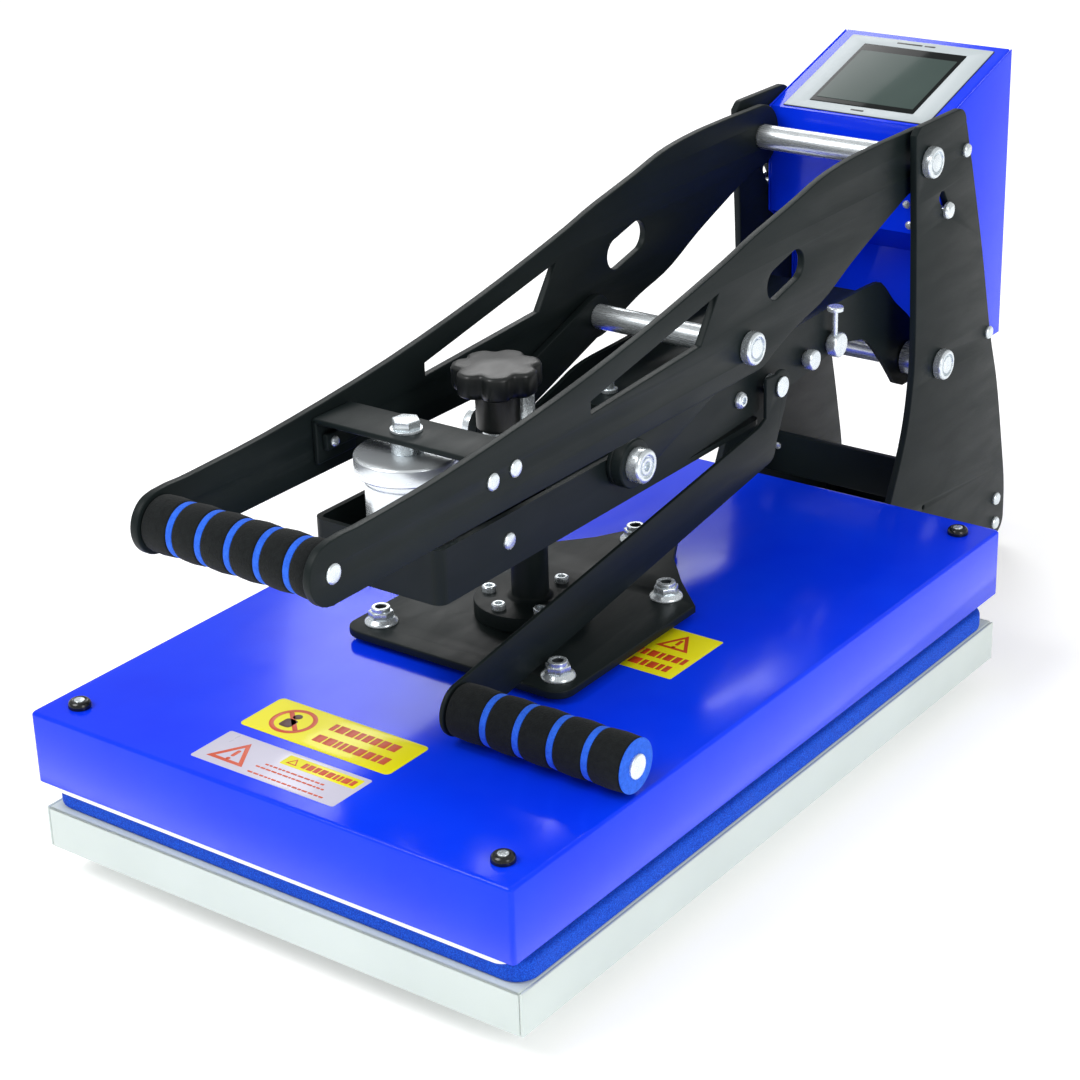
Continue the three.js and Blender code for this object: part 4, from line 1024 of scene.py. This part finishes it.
def build_box():
    """The folded box between two cheeks."""
    left, right = box_lo.x, box_hi.x
    cheek, seam = 1.8, 0.1
    corners = ((box_hi.y, box_lo.z), PANEL_TOP, BROW, CHIN, HEEL, (HEEL[0], box_lo.z))
    outline = [Vector(p) for p in corners]
    cut_plate("box_body", [outline], "X", left + cheek + seam, right - cheek - seam, 1.4, "frame",
              M["blue"], "blue_paint", ["control_box"], 3)
    for label, x0, x1 in (("left", left, left + cheek), ("right", right - cheek, right)):
        cut_plate(f"box_cheek_{label}", [outline], "X", x0, x1, 0.7, "frame", M["blue"], "blue_paint")


BOX_SCREWS = ((52, 314), (55, 297), (51, 275))  # X and height, on the front or on the chin's slope


def build_panel():
    panel_sheet("bezel_outline", -66.6, 66.6, 7.0, 126.2, 0.0, 0.5, M["line"], 1.5)
    window = (-47.9, 47.9, 20.1, 114.6, 1.0)
    panel_sheet("bezel_sheet", -65.9, 65.9, 7.7, 125.5, 0.3, 1.0, M["bezel"], 1.2,
                [window], ["display_bezel"])
    panel_sheet("screen_glass_sheet", -47.7, 47.7, 20.3, 114.4, 0.3, 1.3, M["glass"], 0.8,
                (), ["display_glass"])
    panel_sheet("screen_lcd", -44.5, 44.5, 31.0, 108.5, 1.2, 1.45, M["lcd"], 0.4)
    for i, (x, down, width) in enumerate(((-9, 13.2, 24), (10, 13.2, 10), (0, 120.2, 12))):
        panel_sheet(f"bezel_mark_{i + 1}", x - width / 2, x + width / 2, down - 1.0, down + 1.0, 0.95, 1.1,
                    M["line"], 0.9, (), (), 0.05)
    screw = [(0.2, 0), (0.2, 3.4), (-1.2, 3.2), (-2.2, 2.0), (-2.4, 0)]
    slope = (HEEL[0] - CHIN[0]) / (CHIN[1] - HEEL[1])
    for i, (x, z) in enumerate(BOX_SCREWS):
        y = CHIN[0] + max(0, CHIN[1] - z) * slope
        lathe(f"box_screw_{i + 1}", screw, "Y", (x, y, z), "frame", M["zinc"], [], 24, 0)


def build_box_back():
    """The circuit board inside, and at the back the power inlet with its pins and the switch's rim."""
    dress_node("control_board", M["board"])
    dress_node("power_inlet", M["plastic"], 0.5)
    back = box_hi.y
    x = mid("power_inlet").x
    bm = bmesh.new()
    add_box(bm, x - 11.8, x + 11.8, back - 0.8, back + 0.4, 205.7, 222.3, 0.2)
    finish_piece("inlet_floor", bm, "frame", M["plastic"])
    for i, (dx, dz) in enumerate(((-5, -2), (5, -2), (0, 3))):
        bm = bmesh.new()
        add_box(bm, x + dx - 0.9, x + dx + 0.9, back + 0.4, back + 2.2, 212 + dz, 216 + dz, 0.3)
        finish_piece(f"inlet_pin_{i + 1}", bm, "frame", M["zinc"])
    dress_node("power_switch", M["plastic"], 0.6)
    x, z = mid("power_switch").x, 214
    rim = [rect_loop(x - 10, x + 10, z - 14, z + 14, 1.5),
           rect_loop(x - 7.4, x + 7.4, z - 11.2, z + 11.2, 0.6)]
    cut_plate("switch_bezel", rim, "Y", back + 0.1, back + 2.2, 0.5, "frame", M["plastic"], "black_plastic")


# ------------ labels on the cover
LABEL_SEAT = 0.02
LABEL_THICK = 0.22
STRIP_THICK = 0.05
PRINT_THICK = 0.10


def sticker(name, x0, x1, y0, y1, radius, mat, level, thick=LABEL_THICK):
    cut_plate(name, [rect_loop(x0, x1, y0, y1, radius)], "Z", level, level + thick, min(0.04, thick / 3),
              "platen", mat, "bezel_grey", (), 1)


def printed(name, shapes, mat, level):
    """Printed shapes share one piece; each shape is one outline with its holes."""
    whole = bmesh.new()
    for shape in shapes:
        part = plate_from_loops(name, shape, "Z", level, level + PRINT_THICK, 0.02, 1)
        mesh = bpy.data.meshes.new(name)
        part.to_mesh(mesh)
        part.free()
        whole.from_mesh(mesh)
        bpy.data.meshes.remove(mesh)
    finish_piece(name, whole, "platen", mat)


def bars(x0, x1, y0, y1, count, seed):
    """A row of plain blocks, in place of words."""
    rng = random.Random(seed)
    widths = [0.6 + rng.random() for _ in range(count)]
    gap = 0.28
    unit = (x1 - x0) / (sum(widths) + gap * (count - 1))
    out, x = [], x0
    for width in widths:
        out.append([rect_loop(x, x + width * unit, y0, y1, 0.3, 2)])
        x += (width + gap) * unit
    return out


def triangle(cx, cy, size):
    """A hollow warning triangle standing with its point away from the front edge."""
    return [[Vector((cx + reach * math.sin(a), cy + reach * math.cos(a)))
             for a in (0, math.tau / 3, 2 * math.tau / 3)] for reach in (size, size * 0.66)]


def warning(prefix, cx, cy, size, dot_drop, level):
    """A triangle with a stroke and a dot in it."""
    printed(f"{prefix}_triangle", [triangle(cx, cy, size)], M["red"], level)
    mark = [[rect_loop(cx - 1.4, cx + 1.4, cy - 1.5, cy + 7, 1)], [circle_loop(cx, cy - dot_drop, 1.6, 16)]]
    printed(f"{prefix}_mark", mark, M["red"], level)


def hands_label(level):
    """Yellow label: a ring with a slash over a plain figure, and two rows of blocks."""
    ink = level + LABEL_THICK
    sticker("label_hands", -73.5, 56, 66, 110, 4, M["yellow"], level)
    cx, cy = -44, 88
    ring = [circle_loop(cx, cy, 16.5, 48), circle_loop(cx, cy, 13.2, 48)]
    slash = [Vector((cx + dx, cy + dy)) for dx, dy in ((8.6, -10.6), (11, -8.2), (-8.6, 10.6), (-11, 8.2))]
    printed("label_hands_ring", [[slash], ring], M["red"], ink)
    figure = [[circle_loop(cx - 1.5, cy + 6.2, 3.4, 24)],
              [rect_loop(cx - 6.5, cx + 3.5, cy - 9, cy + 2, 2.6)]]
    printed("label_hands_figure", figure, M["ink"], ink)
    printed("label_hands_lines", bars(-17, 40, 92, 101, 8, 1) + bars(-17, 45, 75, 84, 9, 2), M["red"], ink)


def heat_label(level):
    """Pale label: a warning triangle, a yellow strip and three rows of blocks."""
    ink = level + LABEL_THICK
    sticker("label_heat", -70.5, 52.7, 15.7, 55.5, 2, M["pink"], level)
    warning("label_heat", -46, 31, 18, 4.8, ink)
    sticker("label_heat_strip", -14, 49, 40, 52, 1, M["yellow"], ink, STRIP_THICK)
    printed("label_heat_strip_print", [triangle(-6, 45, 5)] + bars(2, 46, 42.5, 49, 9, 3), M["red"],
            ink + STRIP_THICK)
    rows = bars(-20, 30, 33, 34.6, 12, 4) + bars(-24, 34, 28, 29.6, 14, 5) + bars(-24, 40, 20, 21.6, 15, 6)
    printed("label_heat_lines", rows, M["red"], ink)


def side_label(level):
    """Yellow label beside the mounting plate: a warning triangle and two rows of blocks."""
    ink = level + LABEL_THICK
    sticker("label_side", 79.3, 132.5, 277, 345, 1.5, M["yellow"], level)
    warning("label_side", 107, 324, 15.5, 4.6, ink)
    printed("label_side_lines", bars(86, 128, 299, 308, 7, 7) + bars(86, 124, 284, 293, 6, 8), M["red"], ink)


build_cover()
build_heater()
build_caps()
build_studs()
build_column()
build_bed()
build_pad()
build_base()
build_uprights()
build_handle()
build_cross_plate()
build_links()
build_arm()
build_knob()
build_spindle()
build_lever()
build_box()
build_panel()
build_box_back()
label_level = span("cover")[1].z + LABEL_SEAT
hands_label(label_level)
heat_label(label_level)
side_label(label_level)
